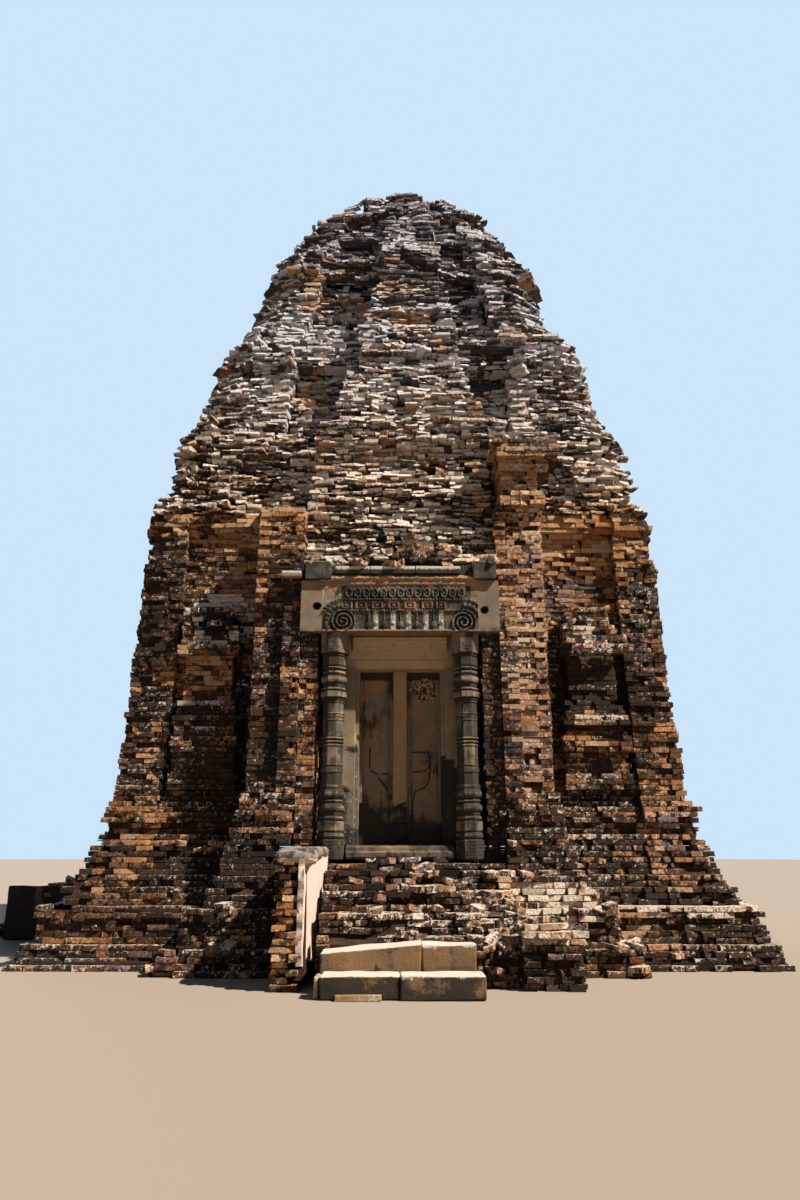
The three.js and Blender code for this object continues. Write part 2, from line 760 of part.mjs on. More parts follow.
// Blind leaves and their band, let into the frame that they are one stone with.
function leavesInFrame() {
  const [half, low, high] = [OPENING_HALF + FUSED, FLOOR_Z - FUSED, OPENING_TOP + FUSED];
  const slab = block(-half, half, -LEAF_FACE, -DOOR_RECESS - GAP, low, high);
  const sunk = block(120, 430, -LEAF_FACE - 50, -LEAF_FACE + 25, FLOOR_Z + 110, OPENING_TOP - 130);
  const cover = block(-85, 85, -LEAF_FACE - 80, -LEAF_FACE + FUSED, low, high);
  return without(slab, [sunk, mirrored(sunk)]).add(cover);
}

// The two piers and the brickwork over the door as one mass.
function bayInOnePiece() {
  const bond = block(
    LINTEL_HALF - 20,
    LINTEL_HALF + 40,
    -3700,
    -WALL_FACE - GAP,
    CORNICE_TOP + GAP,
    WALL_TOP - 160,
  );
  const piers = joined([pier(), capital(), bond]);
  return joined([piers, mirrored(pier().add(bond)), pediment()]);
}

// Steps, treads and side walls as one mass.
function stairInOnePiece(front, top) {
  const wall = stairWall(front, top).translate([5, 0, 0]);
  return joined([
    brickSteps(),
    wall,
    mirrored(wall),
    block(-740, 740, -LOWER_TREAD_BACK + 40, -UPPER_TREAD_BACK + 10, 0, UPPER_TREAD_TOP),
    block(-750, 750, -STAIR_FRONT, -LOWER_TREAD_BACK + 50, 0, LOWER_TREAD_TOP),
  ]);
}

// A stair that has fallen to a low heap, between the stumps of its side walls.
function fallenStair() {
  const heap = run(
    [
      [-STAIR_FACE - GAP, 0],
      [-5300, 0],
      [-5280, 130],
      [-4980, 160],
      [-4950, 310],
      [-4700, 420],
      [-4460, 690],
      [-4420, 860],
      [-4160, 1060],
      [-4140, 1120],
      [-STAIR_FACE - GAP, 1120],
    ].reverse(),
    -STAIR_HALF - SIDE_WALL,
    STAIR_HALF + SIDE_WALL,
  );
  const hollow = block(-STAIR_HALF, STAIR_HALF, -5400, -4430, 240, 900);
  return heap.subtract(hollow);
}

buildPlinth();
buildWalls();
buildSuperstructure();
buildFront();
buildOtherSide("right", 90, { open: false, bay: bayInOnePiece(), stair: fallenStair() });
buildOtherSide("back", 180, { open: true, bay: bayInOnePiece(), stair: stairInOnePiece(-5500, 1240) });
buildOtherSide("left", 270, {
  open: false,
  bay: mirrored(bayInOnePiece()),
  stair: stairInOnePiece(-5680, 760),
});

export default tower;
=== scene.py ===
"""A ruined brick shrine tower with a blind sandstone door on its front.

The brickwork is laid course by course round the solids of the frame, and the carved stone of the
doors, the treads, the plaster and the loose brick are modelled over them. Everything is in metres.
"""

import math
from collections import namedtuple

import bmesh
import bpy
import numpy as np
from mathutils import Matrix, Vector, noise


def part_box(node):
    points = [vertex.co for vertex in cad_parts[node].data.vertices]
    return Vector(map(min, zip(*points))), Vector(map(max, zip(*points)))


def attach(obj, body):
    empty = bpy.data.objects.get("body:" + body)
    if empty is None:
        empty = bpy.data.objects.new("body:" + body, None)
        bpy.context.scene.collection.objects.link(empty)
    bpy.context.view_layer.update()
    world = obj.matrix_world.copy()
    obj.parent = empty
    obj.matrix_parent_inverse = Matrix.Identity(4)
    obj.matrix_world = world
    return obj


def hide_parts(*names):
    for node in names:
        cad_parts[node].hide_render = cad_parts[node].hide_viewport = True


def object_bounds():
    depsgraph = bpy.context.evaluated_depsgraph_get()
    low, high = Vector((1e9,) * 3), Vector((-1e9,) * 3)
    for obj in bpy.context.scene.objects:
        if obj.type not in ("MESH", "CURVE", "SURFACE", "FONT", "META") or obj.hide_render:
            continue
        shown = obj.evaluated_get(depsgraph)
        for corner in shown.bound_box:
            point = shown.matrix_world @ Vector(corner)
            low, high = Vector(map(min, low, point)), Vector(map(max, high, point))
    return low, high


bl_info = {
    "name": "Ruined brick shrine tower",
    "version": (1, 0, 0),
    "blender": (4, 5, 0),
    "location": "View3D > Sidebar > Shrine",
    "description": "Lays the brickwork, carved stone and rubble of a ruined shrine tower",
    "category": "Add Mesh",
}

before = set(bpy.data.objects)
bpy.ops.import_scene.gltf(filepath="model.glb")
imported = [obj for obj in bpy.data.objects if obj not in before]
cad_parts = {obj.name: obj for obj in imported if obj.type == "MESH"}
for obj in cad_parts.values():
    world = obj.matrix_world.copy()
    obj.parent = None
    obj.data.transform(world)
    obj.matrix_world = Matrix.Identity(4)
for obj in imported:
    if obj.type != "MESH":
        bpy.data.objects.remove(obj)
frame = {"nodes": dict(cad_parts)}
CAD_BOX = [list(corner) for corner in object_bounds()]

COURSES = 216
COURSE = CAD_BOX[1][2] / COURSES

# How many degrees each side is turned from the front.
SIDES = {"right": 90, "back": 180, "left": 270}

# Each masonry node with the way its bricks are laid, and how far its dark core lies behind them.
MASONRY = {
    "plinth_lower": ("plinth", 0.10),
    "plinth_upper": ("plinth", 0.10),
    "front_wall": ("wall", 0.09),
    "left_wall": ("wall", 0.09),
    "right_wall": ("wall", 0.09),
    "back_wall_left": ("wall", 0.09),
    "back_wall_right": ("wall", 0.09),
    "back_wall_over_door": ("wall", 0.09),
    "tier_1": ("tier", 0.22),
    "tier_2": ("tier", 0.22),
    "tier_3": ("tier", 0.22),
    "crown": ("tier", 0.22),
    "front_right_pier": ("pier", 0.08),
    "front_left_pier": ("pier", 0.08),
    "front_pediment": ("tier", 0.20),
    "front_brick_steps": ("ruin", 0.10),
    "front_left_stair_wall": ("ruin", 0.15),
    "front_right_stair_wall": ("ruin", 0.10),
    "right_door_bay": ("pier", 0.08),
    "back_door_bay": ("pier", 0.08),
    "left_door_bay": ("pier", 0.08),
    "right_stair": ("ruin", 0.10),
    "back_stair": ("ruin", 0.08),
    "left_stair": ("ruin", 0.08),
}
# The pediment, and the wall that shows behind it where it has fallen away.
PEDIMENT, WALL_BEHIND = "front_pediment", "front_wall"
# The side wall of the stair whose inner face is plastered.
COATED = "front_left_stair_wall"
# The nodes whose ledges are too narrow for a core drawn in along its normals: the scale of their
# core about its middle instead, and how far it is moved.
SET_BACK = {
    "crown": ((0.84, 0.84, 1.0), (0.0, 0.0, -0.22)),
    "front_pediment": ((0.90, 1.0, 1.0), (0.0, 0.20, -0.10)),
}

# How each kind of brickwork has weathered: how far whole clumps stand in or out, how far single
# bricks do, the share that is missing, the depth of a brick, how far bricks have turned and their
# faces lean, how far their corners have gone, how long they are beside a whole one, how wide their
# joints have opened beside a sound one, how much paler the upper edges of a brick are painted, a
# painted highlight with some pale growth, and how much darker its lower ones, painted shade with
# some stain.
Wear = namedtuple("Wear", "clump single missing depth turn lean chip length open bloom stain")
WEAR = {
    "wall": Wear(0.024, 0.010, 0.015, 0.14, 0.012, 0.08, 0.004, 0.95, 1.3, 0.24, 0.30),
    "pier": Wear(0.015, 0.008, 0.012, 0.14, 0.010, 0.06, 0.003, 0.95, 1.0, 0.24, 0.30),
    "plinth": Wear(0.022, 0.013, 0.030, 0.15, 0.022, 0.14, 0.005, 1.0, 1.4, 0.24, 0.30),
    "tier": Wear(0.105, 0.020, 0.075, 0.24, 0.090, 0.55, 0.012, 0.78, 3.0, 0.66, 0.74),
    "ruin": Wear(0.040, 0.024, 0.040, 0.15, 0.060, 0.30, 0.008, 0.95, 2.0, 0.24, 0.30),
}

# How far the face of each shape of brick is inset, how far it swells out, and how far one end is
# broken back: plain, squared, rounded, split and wedge-shaped.
BRICK_SHAPES = ((0, 0, 0), (0.006, 0.005, 0), (0.015, 0.015, 0), (0.010, 0.010, 0.045), (0, 0, 0.050))
# The shares of these shapes where bricks are seen close to, on the front up to a height, and
# elsewhere.
SHAPES_NEAR = {
    "wall": (0.00, 0.50, 0.30, 0.14, 0.06),
    "pier": (0.00, 0.58, 0.28, 0.10, 0.04),
    "plinth": (0.00, 0.35, 0.35, 0.20, 0.10),
    "tier": (0.12, 0.14, 0.64, 0.08, 0.02),
    "ruin": (0.00, 0.20, 0.40, 0.25, 0.15),
}
SHAPES_FAR = {
    "wall": (0.85, 0.0, 0.0, 0.0, 0.15),
    "pier": (0.85, 0.0, 0.0, 0.0, 0.15),
    "plinth": (0.75, 0.0, 0.0, 0.0, 0.25),
    "tier": (0.40, 0.0, 0.30, 0.15, 0.15),
    "ruin": (0.65, 0.0, 0.0, 0.0, 0.35),
}
NEAR_TOP = 12.5

# How bricks are laid: the share of them that are headers, how long headers and stretchers are beside
# a whole brick, the shortest that is laid, and the shortest run that is bonded round a corner.
HEADERS, HEADER_LENGTHS, STRETCHER_LENGTHS = 0.55, (0.46, 0.62), (0.80, 1.12)
SHORTEST_BRICK, SHORTEST_BONDED_RUN = 0.07, 0.20
# The most rows one behind another where a wall is open above, and how deep in a brick may stand, as
# a share of the depth of the core.
MOST_ROWS, DEEPEST = 7, 0.55
# How much bricks of one course differ in depth, joint, level and tilt.
DEPTH_SPREAD, JOINT_SPREAD, LEVEL_SPREAD, MOST_TILT = (0.92, 1.06), (0.6, 1.4), 0.0012, 0.02
# The chance past which a brick stands out of its course, and by how many times the usual wander.
STANDING_OUT, STANDS_OUT_BY = 0.93, 1.6
# How far outside and inside a face it is asked what is solid there.
JUST_OUTSIDE, JUST_INSIDE = 0.015, 0.05

# How an outline is read: how sharply it turns at a corner, how near two points of it may lie, and
# how far apart the points of one worn corner may be.
CORNER, SHORTEST_STEP, CHAMFER = math.radians(20), 0.004, 0.12
# How near the corners of a solid's triangles lie where they are one corner, and what stands in for
# a length of nothing.
MERGED, TINY = 0.0004, 1e-9


def size_of(name, description, default):
    """A length that a user would change."""
    return bpy.props.FloatProperty(name=name, description=description, default=default, unit="LENGTH")


def colour_of(name, description, default):
    """A colour that a user would change."""
    return bpy.props.FloatVectorProperty(
        name=name, description=description, default=default, subtype="COLOR"
    )


class BrickSizes(bpy.types.PropertyGroup):
    """Sizes of the bricks"""

    length: size_of("Brick length", "Length of a whole brick", 0.25)
    depth: size_of("Brick depth", "Width of a whole brick", 0.14)
    joint: size_of("Joint", "Open joint between two bricks", 0.006)
    seed: bpy.props.IntProperty(name="Seed", description="Start of the random draws", default=7)


class BrickColours(bpy.types.PropertyGroup):
    """Colours of the bricks and of what has grown on them, the pale growth and the patina also painting
    highlights and shade on the bricks
    """

    dark: colour_of("Burnt brick", "Darkest brick", (0.070, 0.030, 0.015))
    brown: colour_of("Brown brick", "Common brick", (0.20, 0.092, 0.042))
    orange: colour_of("Orange brick", "Clean brick", (0.54, 0.235, 0.080))
    tan: colour_of("Tan brick", "Pale brick", (0.64, 0.40, 0.23))
    bleached: colour_of("Bleached brick", "Sun-bleached brick", (0.37, 0.345, 0.40))
    patina: colour_of("Patina", "Dark weather stain", (0.022, 0.014, 0.009))
    slate: colour_of("Slate patina", "Stain high up", (0.064, 0.063, 0.074))
    lichen: colour_of("Lichen", "Pale growth", (0.80, 0.765, 0.80))
    cream: colour_of("Cream growth", "Pale growth low down", (0.88, 0.75, 0.62))


class StoneColours(bpy.types.PropertyGroup):
    """Colours of the stone, the plaster and their stains, the soot and the bloom also painting shade and
    highlights on some stones
    """

    grey: colour_of("Grey stone", "Carved stone", (0.108, 0.088, 0.066))
    buff: colour_of("Buff stone", "Plain stone", (0.215, 0.163, 0.112))
    tan: colour_of("Tan stone", "Clean stone", (0.42, 0.295, 0.172))
    tread: colour_of("Tread stone", "Palest tread", (0.215, 0.115, 0.046))
    rust: colour_of("Rust", "Orange stain", (0.36, 0.165, 0.055))
    soot: colour_of("Soot", "Dark film", (0.022, 0.018, 0.014))
    bloom: colour_of("Bloom", "Pale crust", (0.56, 0.51, 0.43))
    crust: colour_of("Crust", "Weathered plaster", (0.26, 0.22, 0.19))
    plaster: colour_of("Plaster", "Clean plaster", (0.66, 0.50, 0.42))


class Carving(bpy.types.PropertyGroup):
    """How finely the stone is carved"""

    cell: size_of("Grain", "Finest step of the carving", 0.0125)
    coarser: bpy.props.FloatProperty(
        name="Coarser", description="How much coarser the carving is away from the front", default=1.6
    )


def deselect():
    """Deselect everything, in object mode, before a new piece is added."""
    if bpy.context.mode != "OBJECT":
        bpy.ops.object.mode_set(mode="OBJECT")
    bpy.ops.object.select_all(action="DESELECT")


def edit_all():
    """Go into edit mode with the whole active piece selected."""
    bpy.ops.object.mode_set(mode="EDIT")
    bpy.ops.mesh.select_all(action="SELECT")


def leave_closed():
    """Turn the faces of a closed shape outwards, and leave edit mode."""
    bpy.ops.mesh.select_all(action="SELECT")
    bpy.ops.mesh.normals_make_consistent(inside=False)
    bpy.ops.object.mode_set(mode="OBJECT")


def linked(name, mesh):
    """A new object with a mesh, in the scene."""
    piece = bpy.data.objects.new(name, mesh)
    bpy.context.collection.objects.link(piece)
    return piece


def finish_piece(piece, name, material=None, nodes=()):
    """Name a finished piece, keep it inside the box of the frame, and set it on the tower."""
    piece.name = piece.data.name = name
    points = np.empty(len(piece.data.vertices) * 3)
    piece.data.vertices.foreach_get("co", points)
    piece.data.vertices.foreach_set("co", np.clip(points.reshape(-1, 3), *CAD_BOX).ravel())
    if material:
        piece.data.materials.clear()
        piece.data.materials.append(material)
    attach(piece, "root")
    if nodes:
        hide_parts(*nodes)
    return piece


# Cutting the frame's solids into courses.


def triangles_of(node):
    """The corners of a node's triangles, as an array of (triangle, corner, axis)."""
    mesh = frame["nodes"][node].data
    mesh.calc_loop_triangles()
    points = np.empty(len(mesh.vertices) * 3)
    mesh.vertices.foreach_get("co", points)
    corners = np.empty(len(mesh.loop_triangles) * 3, int)
    mesh.loop_triangles.foreach_get("vertices", corners)
    return points.reshape(-1, 3)[corners].reshape(-1, 3, 3)


def level_cut(triangles, z):
    """The segments in which a level plane cuts the triangles, each with the solid on its left."""
    above = triangles[:, :, 2] > z
    crossed = above.any(axis=1) & ~above.all(axis=1)
    triangles, above = triangles[crossed], above[crossed]
    if not len(triangles):
        return np.empty((0, 2, 2))
    # Each crossed side is taken from its low end to its high one, so that the two triangles that
    # share it give the same point.
    ends = []
    for first, second in ((0, 1), (1, 2), (2, 0)):
        one, other = triangles[:, first], triangles[:, second]
        rising = (one[:, 2] < other[:, 2])[:, None]
        low, high = np.where(rising, one, other), np.where(rising, other, one)
        climb = np.maximum(high[:, 2:] - low[:, 2:], TINY)
        ends.append(low[:, :2] + (z - low[:, 2:]) / climb * (high[:, :2] - low[:, :2]))
    ends = np.stack(ends, axis=1)
    meets = np.stack([above[:, i] != above[:, (i + 1) % 3] for i in range(3)], axis=1)
    segments = ends[meets].reshape(-1, 2, 2)
    outward = np.cross(triangles[:, 1] - triangles[:, 0], triangles[:, 2] - triangles[:, 0])[:, :2]
    onward = segments[:, 1] - segments[:, 0]
    backward = onward[:, 1] * outward[:, 0] - onward[:, 0] * outward[:, 1] < 0
    segments[backward] = segments[backward][:, ::-1]
    return segments


def chained(segments):
    """Closed outlines through the segments, as arrays of points."""
    starts = {}
    for index, (first, _) in enumerate(segments):
        starts.setdefault(tuple(first), []).append(index)
    used = np.zeros(len(segments), bool)
    outlines = []
    for first in range(len(segments)):
        if used[first]:
            continue
        index, points = first, []
        while index is not None and not used[index]:
            used[index] = True
            points.append(segments[index][0])
            onward = [i for i in starts.get(tuple(segments[index][1]), []) if not used[i]]
            index = onward[0] if onward else None
        if len(points) > 2:
            outlines.append(np.array(points))
    return outlines


def tidied(outline):
    """The outline without points that lie almost on each other."""
    kept = [outline[0]]
    for point in outline[1:]:
        if np.linalg.norm(point - kept[-1]) > SHORTEST_STEP:
            kept.append(point)
    if len(kept) > 1 and np.linalg.norm(kept[0] - kept[-1]) <= SHORTEST_STEP:
        kept.pop()
    return np.array(kept)


def straight_runs(outline):
    """Split an outline at its corners: a list of runs, each its points and whether it starts convex.

    Corners that follow each other within a brick's width and turn the same way are one worn corner.
    """
    points = tidied(outline)
    if len(points) < 3:
        return []
    ahead = np.roll(points, -1, axis=0) - points
    heading = np.arctan2(ahead[:, 1], ahead[:, 0])
    turn = (heading - np.roll(heading, 1) + math.pi) % (2 * math.pi) - math.pi
    corners = list(np.flatnonzero(np.abs(turn) > CORNER))
    if not corners:
        return [(np.vstack([points, points[:1]]), False)]
    groups = []
    for corner in corners:
        if groups:
            last = groups[-1][-1]
            near = np.linalg.norm(points[corner] - points[last]) < CHAMFER
            if near and turn[last] * turn[corner] > 0:
                groups[-1].append(corner)
                continue
        groups.append([corner])
    first, last = groups[0], groups[-1]
    near = np.linalg.norm(points[first[0]] - points[last[-1]]) < CHAMFER
    if len(groups) > 1 and near and turn[first[0]] * turn[last[-1]] > 0:
        groups[0] = groups.pop() + first
    runs = []
    for place, group in enumerate(groups):
        following = groups[(place + 1) % len(groups)]
        count = (following[0] - group[-1]) % len(points) or len(points)
        picked = points[(group[-1] + np.arange(count + 1)) % len(points)].copy()
        picked[0] = points[group].mean(axis=0)
        picked[-1] = points[following].mean(axis=0)
        runs.append((picked, turn[group].sum() > 0))
    return runs


def inside(points, segments):
    """Whether each point is inside the solids that the segments are cut from."""
    if not len(segments) or not len(points):
        return np.zeros(len(points), bool)
    (x0, y0), (x1, y1) = segments[:, 0].T, segments[:, 1].T
    x, y = points[:, :1], points[:, 1:]
    spans = (y0 > y) != (y1 > y)
    with np.errstate(divide="ignore", invalid="ignore"):
        meets = x0 + (y - y0) * (x1 - x0) / (y1 - y0)
    return (spans & (meets > x)).sum(axis=1) % 2 == 1


# Laying bricks.


def hashed(point, seed):
    """A repeatable number between 0 and 1 for a point."""
    value = math.sin(point[0] * 12.99 + point[1] * 78.23 + point[2] * 37.72 + seed) * 43758.55
    return value - math.floor(value)


def patch(x, y, z, seed, wide, high):
    """A number between -1 and 1 that is the same over a ragged patch of brickwork."""
    _, cells = noise.voronoi(Vector((x / wide + seed, y / wide, z / high)))
    return 2 * hashed(cells[0], seed) - 1


def drift(x, y, z, seed, wide, high):
    """A number between -1 and 1 that changes smoothly over the brickwork."""
    return noise.noise(Vector((x / wide, y / wide + seed, z / high)))


# The columns of a brick's row: its centre, heading, size, shape, tilt and marks.
CENTRE, HEADING, SIZE, SHAPE = slice(0, 3), 3, slice(4, 7), 7
TILT, MARKS = slice(8, 11), slice(11, 15)
# How far the outer corners of a brick of unit size lie from its middle, at the least.
OUTER = 0.2


class Bricks:
    """The bricks of one piece: where each is, which way it faces, its size, shape and colours."""

    def __init__(self):
        self.rows = []

    def add(self, centre, heading, size, shape, tilt, marks):
        """A brick at its centre. Tilt is its roll, its pitch and the lean of its face, and marks are
        its tone, patina, lichen and bleaching.
        """
        self.rows.append((*centre, heading, *size, shape, *tilt, *marks))

    def mesh(self, name, shapes, kind, rng):
        """One mesh of all the bricks, each a copy of a modelled shape."""
        rows, wear = np.array(self.rows), WEAR[kind]
        points, faces, marks, base = [], [], [], 0
        for number, (corners, sides) in enumerate(shapes):
            chosen = rows[rows[:, SHAPE] == number]
            if not len(chosen):
                continue
            count, each = len(chosen), len(corners)
            places = corners[None] * chosen[:, None, SIZE]
            places = places + rng.uniform(-wear.chip, wear.chip, places.shape) * (1, 1, 0.5)
            roll, pitch, lean = chosen[:, TILT].T[:, :, None]
            outer = corners[:, 1] < -OUTER
            places[:, :, 2] += places[:, :, 1] * roll + places[:, :, 0] * pitch
            places[:, :, 1] += places[:, :, 2] * lean * outer
            cos, sin = np.cos(chosen[:, HEADING, None]), np.sin(chosen[:, HEADING, None])
            turned = places.copy()
            turned[:, :, 0] = places[:, :, 0] * cos - places[:, :, 1] * sin
            turned[:, :, 1] = places[:, :, 0] * sin + places[:, :, 1] * cos
            turned += chosen[:, None, CENTRE]
            points.append(turned.reshape(-1, 3))
            faces.append((sides[None] + base + each * np.arange(count)[:, None, None]).reshape(-1, 4))
            painted = np.repeat(chosen[:, MARKS], each, axis=0)
            # Upper outer corners are made paler and lower outer ones darker: a painted highlight along
            # the upper edge of each brick and painted shade along its lower edge.
            painted[:, 2] += wear.bloom * np.tile(outer & (corners[:, 2] > OUTER), count)
            painted[:, 1] += wear.stain * np.tile(outer & (corners[:, 2] < -OUTER), count)
            marks.append(painted)
            base += count * each
        mesh = bpy.data.meshes.new(name)
        mesh.from_pydata(np.vstack(points).tolist(), [], np.vstack(faces).tolist())
        colours = mesh.attributes.new("brick", "FLOAT_COLOR", "POINT")
        colours.data.foreach_set("color", np.vstack(marks).astype(np.float32).ravel())
        return linked(name, mesh)


def modelled_brick(inset, out, broken):
    """A brick of unit size, modelled at real size.

    Its face is inset and swells out, and one end of it may be broken back.
    """
    sizes = bpy.context.scene.brick_sizes
    real = Vector((sizes.length, sizes.depth, COURSE))
    deselect()
    bpy.ops.mesh.primitive_cube_add(size=1)
    brick = bpy.context.object
    brick.scale = real
    bpy.ops.object.transform_apply(scale=True)
    bpy.ops.object.mode_set(mode="EDIT")
    if inset:
        mesh = bmesh.from_edit_mesh(brick.data)
        for face in mesh.faces:
            face.select_set(face.normal.y < -0.5)
        bmesh.update_edit_mesh(brick.data)
        bpy.ops.mesh.inset(thickness=inset, depth=out)
        bpy.ops.mesh.select_all(action="SELECT")
        bpy.ops.transform.translate(value=(0, out, 0))
    if broken:
        mesh = bmesh.from_edit_mesh(brick.data)
        for face in mesh.faces:
            face.select_set(False)
        for vertex in mesh.verts:
            vertex.select_set(vertex.co.x > 0 and vertex.co.y < 0)
        bmesh.update_edit_mesh(brick.data)
        bpy.ops.transform.translate(value=(-broken / 2, broken, 0))
    bpy.ops.object.mode_set(mode="OBJECT")
    corners = np.array([vertex.co for vertex in brick.data.vertices]) / np.array(real)
    sides = np.array([list(face.vertices) for face in brick.data.polygons])
    bpy.data.objects.remove(brick)
    return corners, sides


def brick_shapes():
    """Plain, squared, rounded, split and wedge-shaped bricks."""
    return [modelled_brick(*shape) for shape in BRICK_SHAPES]


# The seed, the width and the height of the patches in which brickwork varies from place to place.
# On the superstructure: long ledges, short ones, lumps, chunks, and single courses.
LEDGES, SHORT_LEDGES, STRATA = (11.0, 2.2, 0.22), (5.0, 0.7, 0.35), (17.0, 0.8, 0.045)
LUMPS, CHUNKS = (2.0, 0.34, 0.20), (8.0, 0.75, 0.50)
# Elsewhere: lumps and hollows.
WALL_LUMPS, WALL_HOLLOWS = (4.0, 0.5, 0.25), (9.0, 0.8, 0.7)
# Colours: warm clay, stain, lichen and bleaching, and on the superstructure streaks and growth.
WARM, WARM_SPOTS = (21.0, 1.1, 0.7), (22.0, 0.3, 0.2)
STAIN, STAIN_SPOTS = (31.0, 1.3, 2.2), (32.0, 0.35, 0.7)
LICHEN, BLEACH = (41.0, 0.9, 0.9), (51.0, 0.8, 0.5)
STREAKS, GROWTH = (57.0, 0.55, 0.055), (53.0, 0.8, 0.40)
RAGGED_EDGES = (61.0, 0.3, 0.2)
# How far single courses of the superstructure stand in or out.
STRATA_REACH = 0.055


def wear_at(kind, x, y, z):
    """How far the brickwork stands in from its first face, in metres, apart from single bricks."""
    clump = WEAR[kind].clump
    if kind == "tier":
        ledge = drift(x, y, z, *LEDGES) + 0.6 * drift(x, y, z, *SHORT_LEDGES)
        lump, chunk = patch(x, y, z, *LUMPS), patch(x, y, z, *CHUNKS)
        strata = STRATA_REACH * drift(x, y, z, *STRATA)
        return clump * (0.15 + 0.60 * ledge + 0.35 * lump + 0.45 * chunk) + strata
    return clump * (0.2 + 0.5 * patch(x, y, z, *WALL_LUMPS) + 0.8 * drift(x, y, z, *WALL_HOLLOWS))


# Parts of the front whose bricks differ from those around them: the middle of each in X and Z, its
# half width and half height, and how much more tone, patina, lichen and bleaching it has.
ZONES = (
    # Clean niches and panels and pale growth on the superstructure.
    (-1.35, 7.95, 0.30, 0.35, 0.30, -0.45, -0.15, -0.35),
    (1.60, 7.95, 0.22, 0.35, 0.35, -0.50, 0.10, 0.10),
    (-0.55, 10.10, 0.28, 0.34, 0.42, -0.55, -0.10, -0.55),
    (-1.40, 10.15, 0.26, 0.36, 0.20, -0.30, -0.05, -0.35),
    (0.18, 9.00, 0.36, 0.26, 0.40, -0.50, -0.05, -0.55),
    (0.20, 7.90, 0.75, 0.90, 0.20, -0.30, 0.16, -0.10),
    (2.30, 7.60, 1.10, 1.10, 0.14, -0.12, 0.02, 0.00),
    (-1.70, 8.90, 1.20, 1.60, 0.10, -0.18, 0.22, 0.00),
    (0.05, 6.70, 1.50, 0.85, 0.12, -0.22, 0.10, -0.10),
    (1.75, 9.05, 0.30, 0.28, 0.30, -0.35, -0.05, -0.35),
    (-1.20, 8.85, 0.40, 0.30, 0.18, -0.25, 0.05, -0.20),
    (-0.20, 6.55, 0.55, 0.22, 0.25, -0.35, -0.10, -0.45),
    (0.10, 11.90, 0.45, 0.80, 0.05, -0.10, 0.22, 0.20),
    # The pediment, and the pale mass and the dark hollows over it.
    (0.00, 5.25, 1.30, 0.80, 0.14, 0.16, -0.16, -0.10),
    (0.45, 7.00, 0.60, 0.40, 0.10, -0.25, 0.22, 0.00),
    (1.10, 6.60, 0.40, 0.60, 0.10, 0.40, -0.10, -0.10),
    (-0.75, 6.90, 0.35, 0.50, 0.00, 0.35, -0.10, 0.00),
    (0.95, 9.60, 0.28, 0.70, 0.00, 0.45, -0.20, 0.10),
    (0.05, 9.90, 0.90, 0.90, 0.00, 0.10, -0.10, 0.00),
    # The walls on the left.
    (-2.20, 5.42, 1.40, 0.30, 0.18, -0.32, -0.20, -0.30),
    (-2.60, 4.75, 0.70, 0.40, 0.02, -0.12, 0.00, 0.00),
    (-2.66, 3.36, 0.56, 0.30, 0.24, -0.42, -0.10, -0.20),
    (-2.37, 4.09, 0.44, 0.44, 0.00, -0.25, 0.85, 0.30),
    (-2.37, 4.08, 0.28, 0.27, -0.30, 0.80, -0.90, -0.35),
    (-2.60, 3.00, 0.42, 0.05, 0.00, -0.10, 0.45, 0.30),
    (-2.60, 2.66, 0.42, 0.05, 0.00, -0.10, 0.45, 0.30),
    (-2.60, 2.83, 0.40, 0.12, -0.20, 0.40, -0.10, 0.00),
    (-3.28, 3.40, 0.22, 1.60, -0.15, 0.20, 0.00, 0.00),
    (-1.47, 3.50, 0.30, 1.60, -0.14, 0.26, -0.10, 0.00),
    (-1.20, 3.40, 0.16, 1.50, 0.05, -0.10, 0.10, 0.00),
    (-2.45, 2.20, 0.60, 0.36, 0.00, 0.10, 0.00, 0.00),
    (-2.60, 0.90, 1.60, 0.50, -0.10, 0.22, -0.06, 0.00),
    # The walls on the right.
    (1.62, 3.90, 0.34, 1.90, 0.28, -0.52, 0.18, 0.05),
    (1.48, 5.90, 0.40, 0.45, 0.20, -0.48, 0.06, -0.10),
    (2.55, 5.25, 0.75, 0.40, 0.16, -0.30, 0.00, -0.20),
    (2.50, 2.52, 0.50, 0.22, 0.24, -0.42, -0.05, -0.20),
    (2.45, 3.80, 0.42, 0.32, 0.14, -0.30, 0.20, 0.16),
    (2.45, 3.33, 0.40, 0.10, -0.25, 0.60, -0.40, 0.00),
    (2.45, 2.80, 0.46, 0.09, 0.20, -0.40, 0.30, 0.00),
    (2.45, 2.63, 0.46, 0.06, -0.20, 0.50, -0.30, 0.00),
    (2.10, 3.30, 0.12, 0.80, -0.20, 0.45, -0.30, 0.00),
    (2.85, 3.30, 0.12, 0.80, -0.10, 0.30, -0.20, 0.00),
    (3.15, 3.90, 0.26, 1.50, -0.12, 0.22, 0.04, 0.00),
    (2.30, 3.60, 0.45, 0.70, -0.05, 0.12, 0.12, 0.05),
    # The steps, darker under the sill as painted shade, the heap beside them and the front of the coated
    # wall.
    (-0.05, 0.94, 0.72, 0.17, -0.10, 0.50, -0.75, -0.20),
    (0.05, 0.56, 0.80, 0.18, 0.20, -0.30, 0.25, 0.00),
    (1.50, 0.65, 0.75, 0.34, 0.50, -0.60, 0.50, -0.15),
    (-1.10, 0.45, 0.20, 0.48, 0.30, -0.45, -0.10, -0.20),
    # The bright ledge and the dark band under it, on the right of the plinth.
    (3.30, 0.60, 1.30, 0.07, 0.15, -0.40, 0.35, 0.15),
    (3.30, 0.74, 1.30, 0.08, -0.20, 0.35, -0.15, 0.00),
)


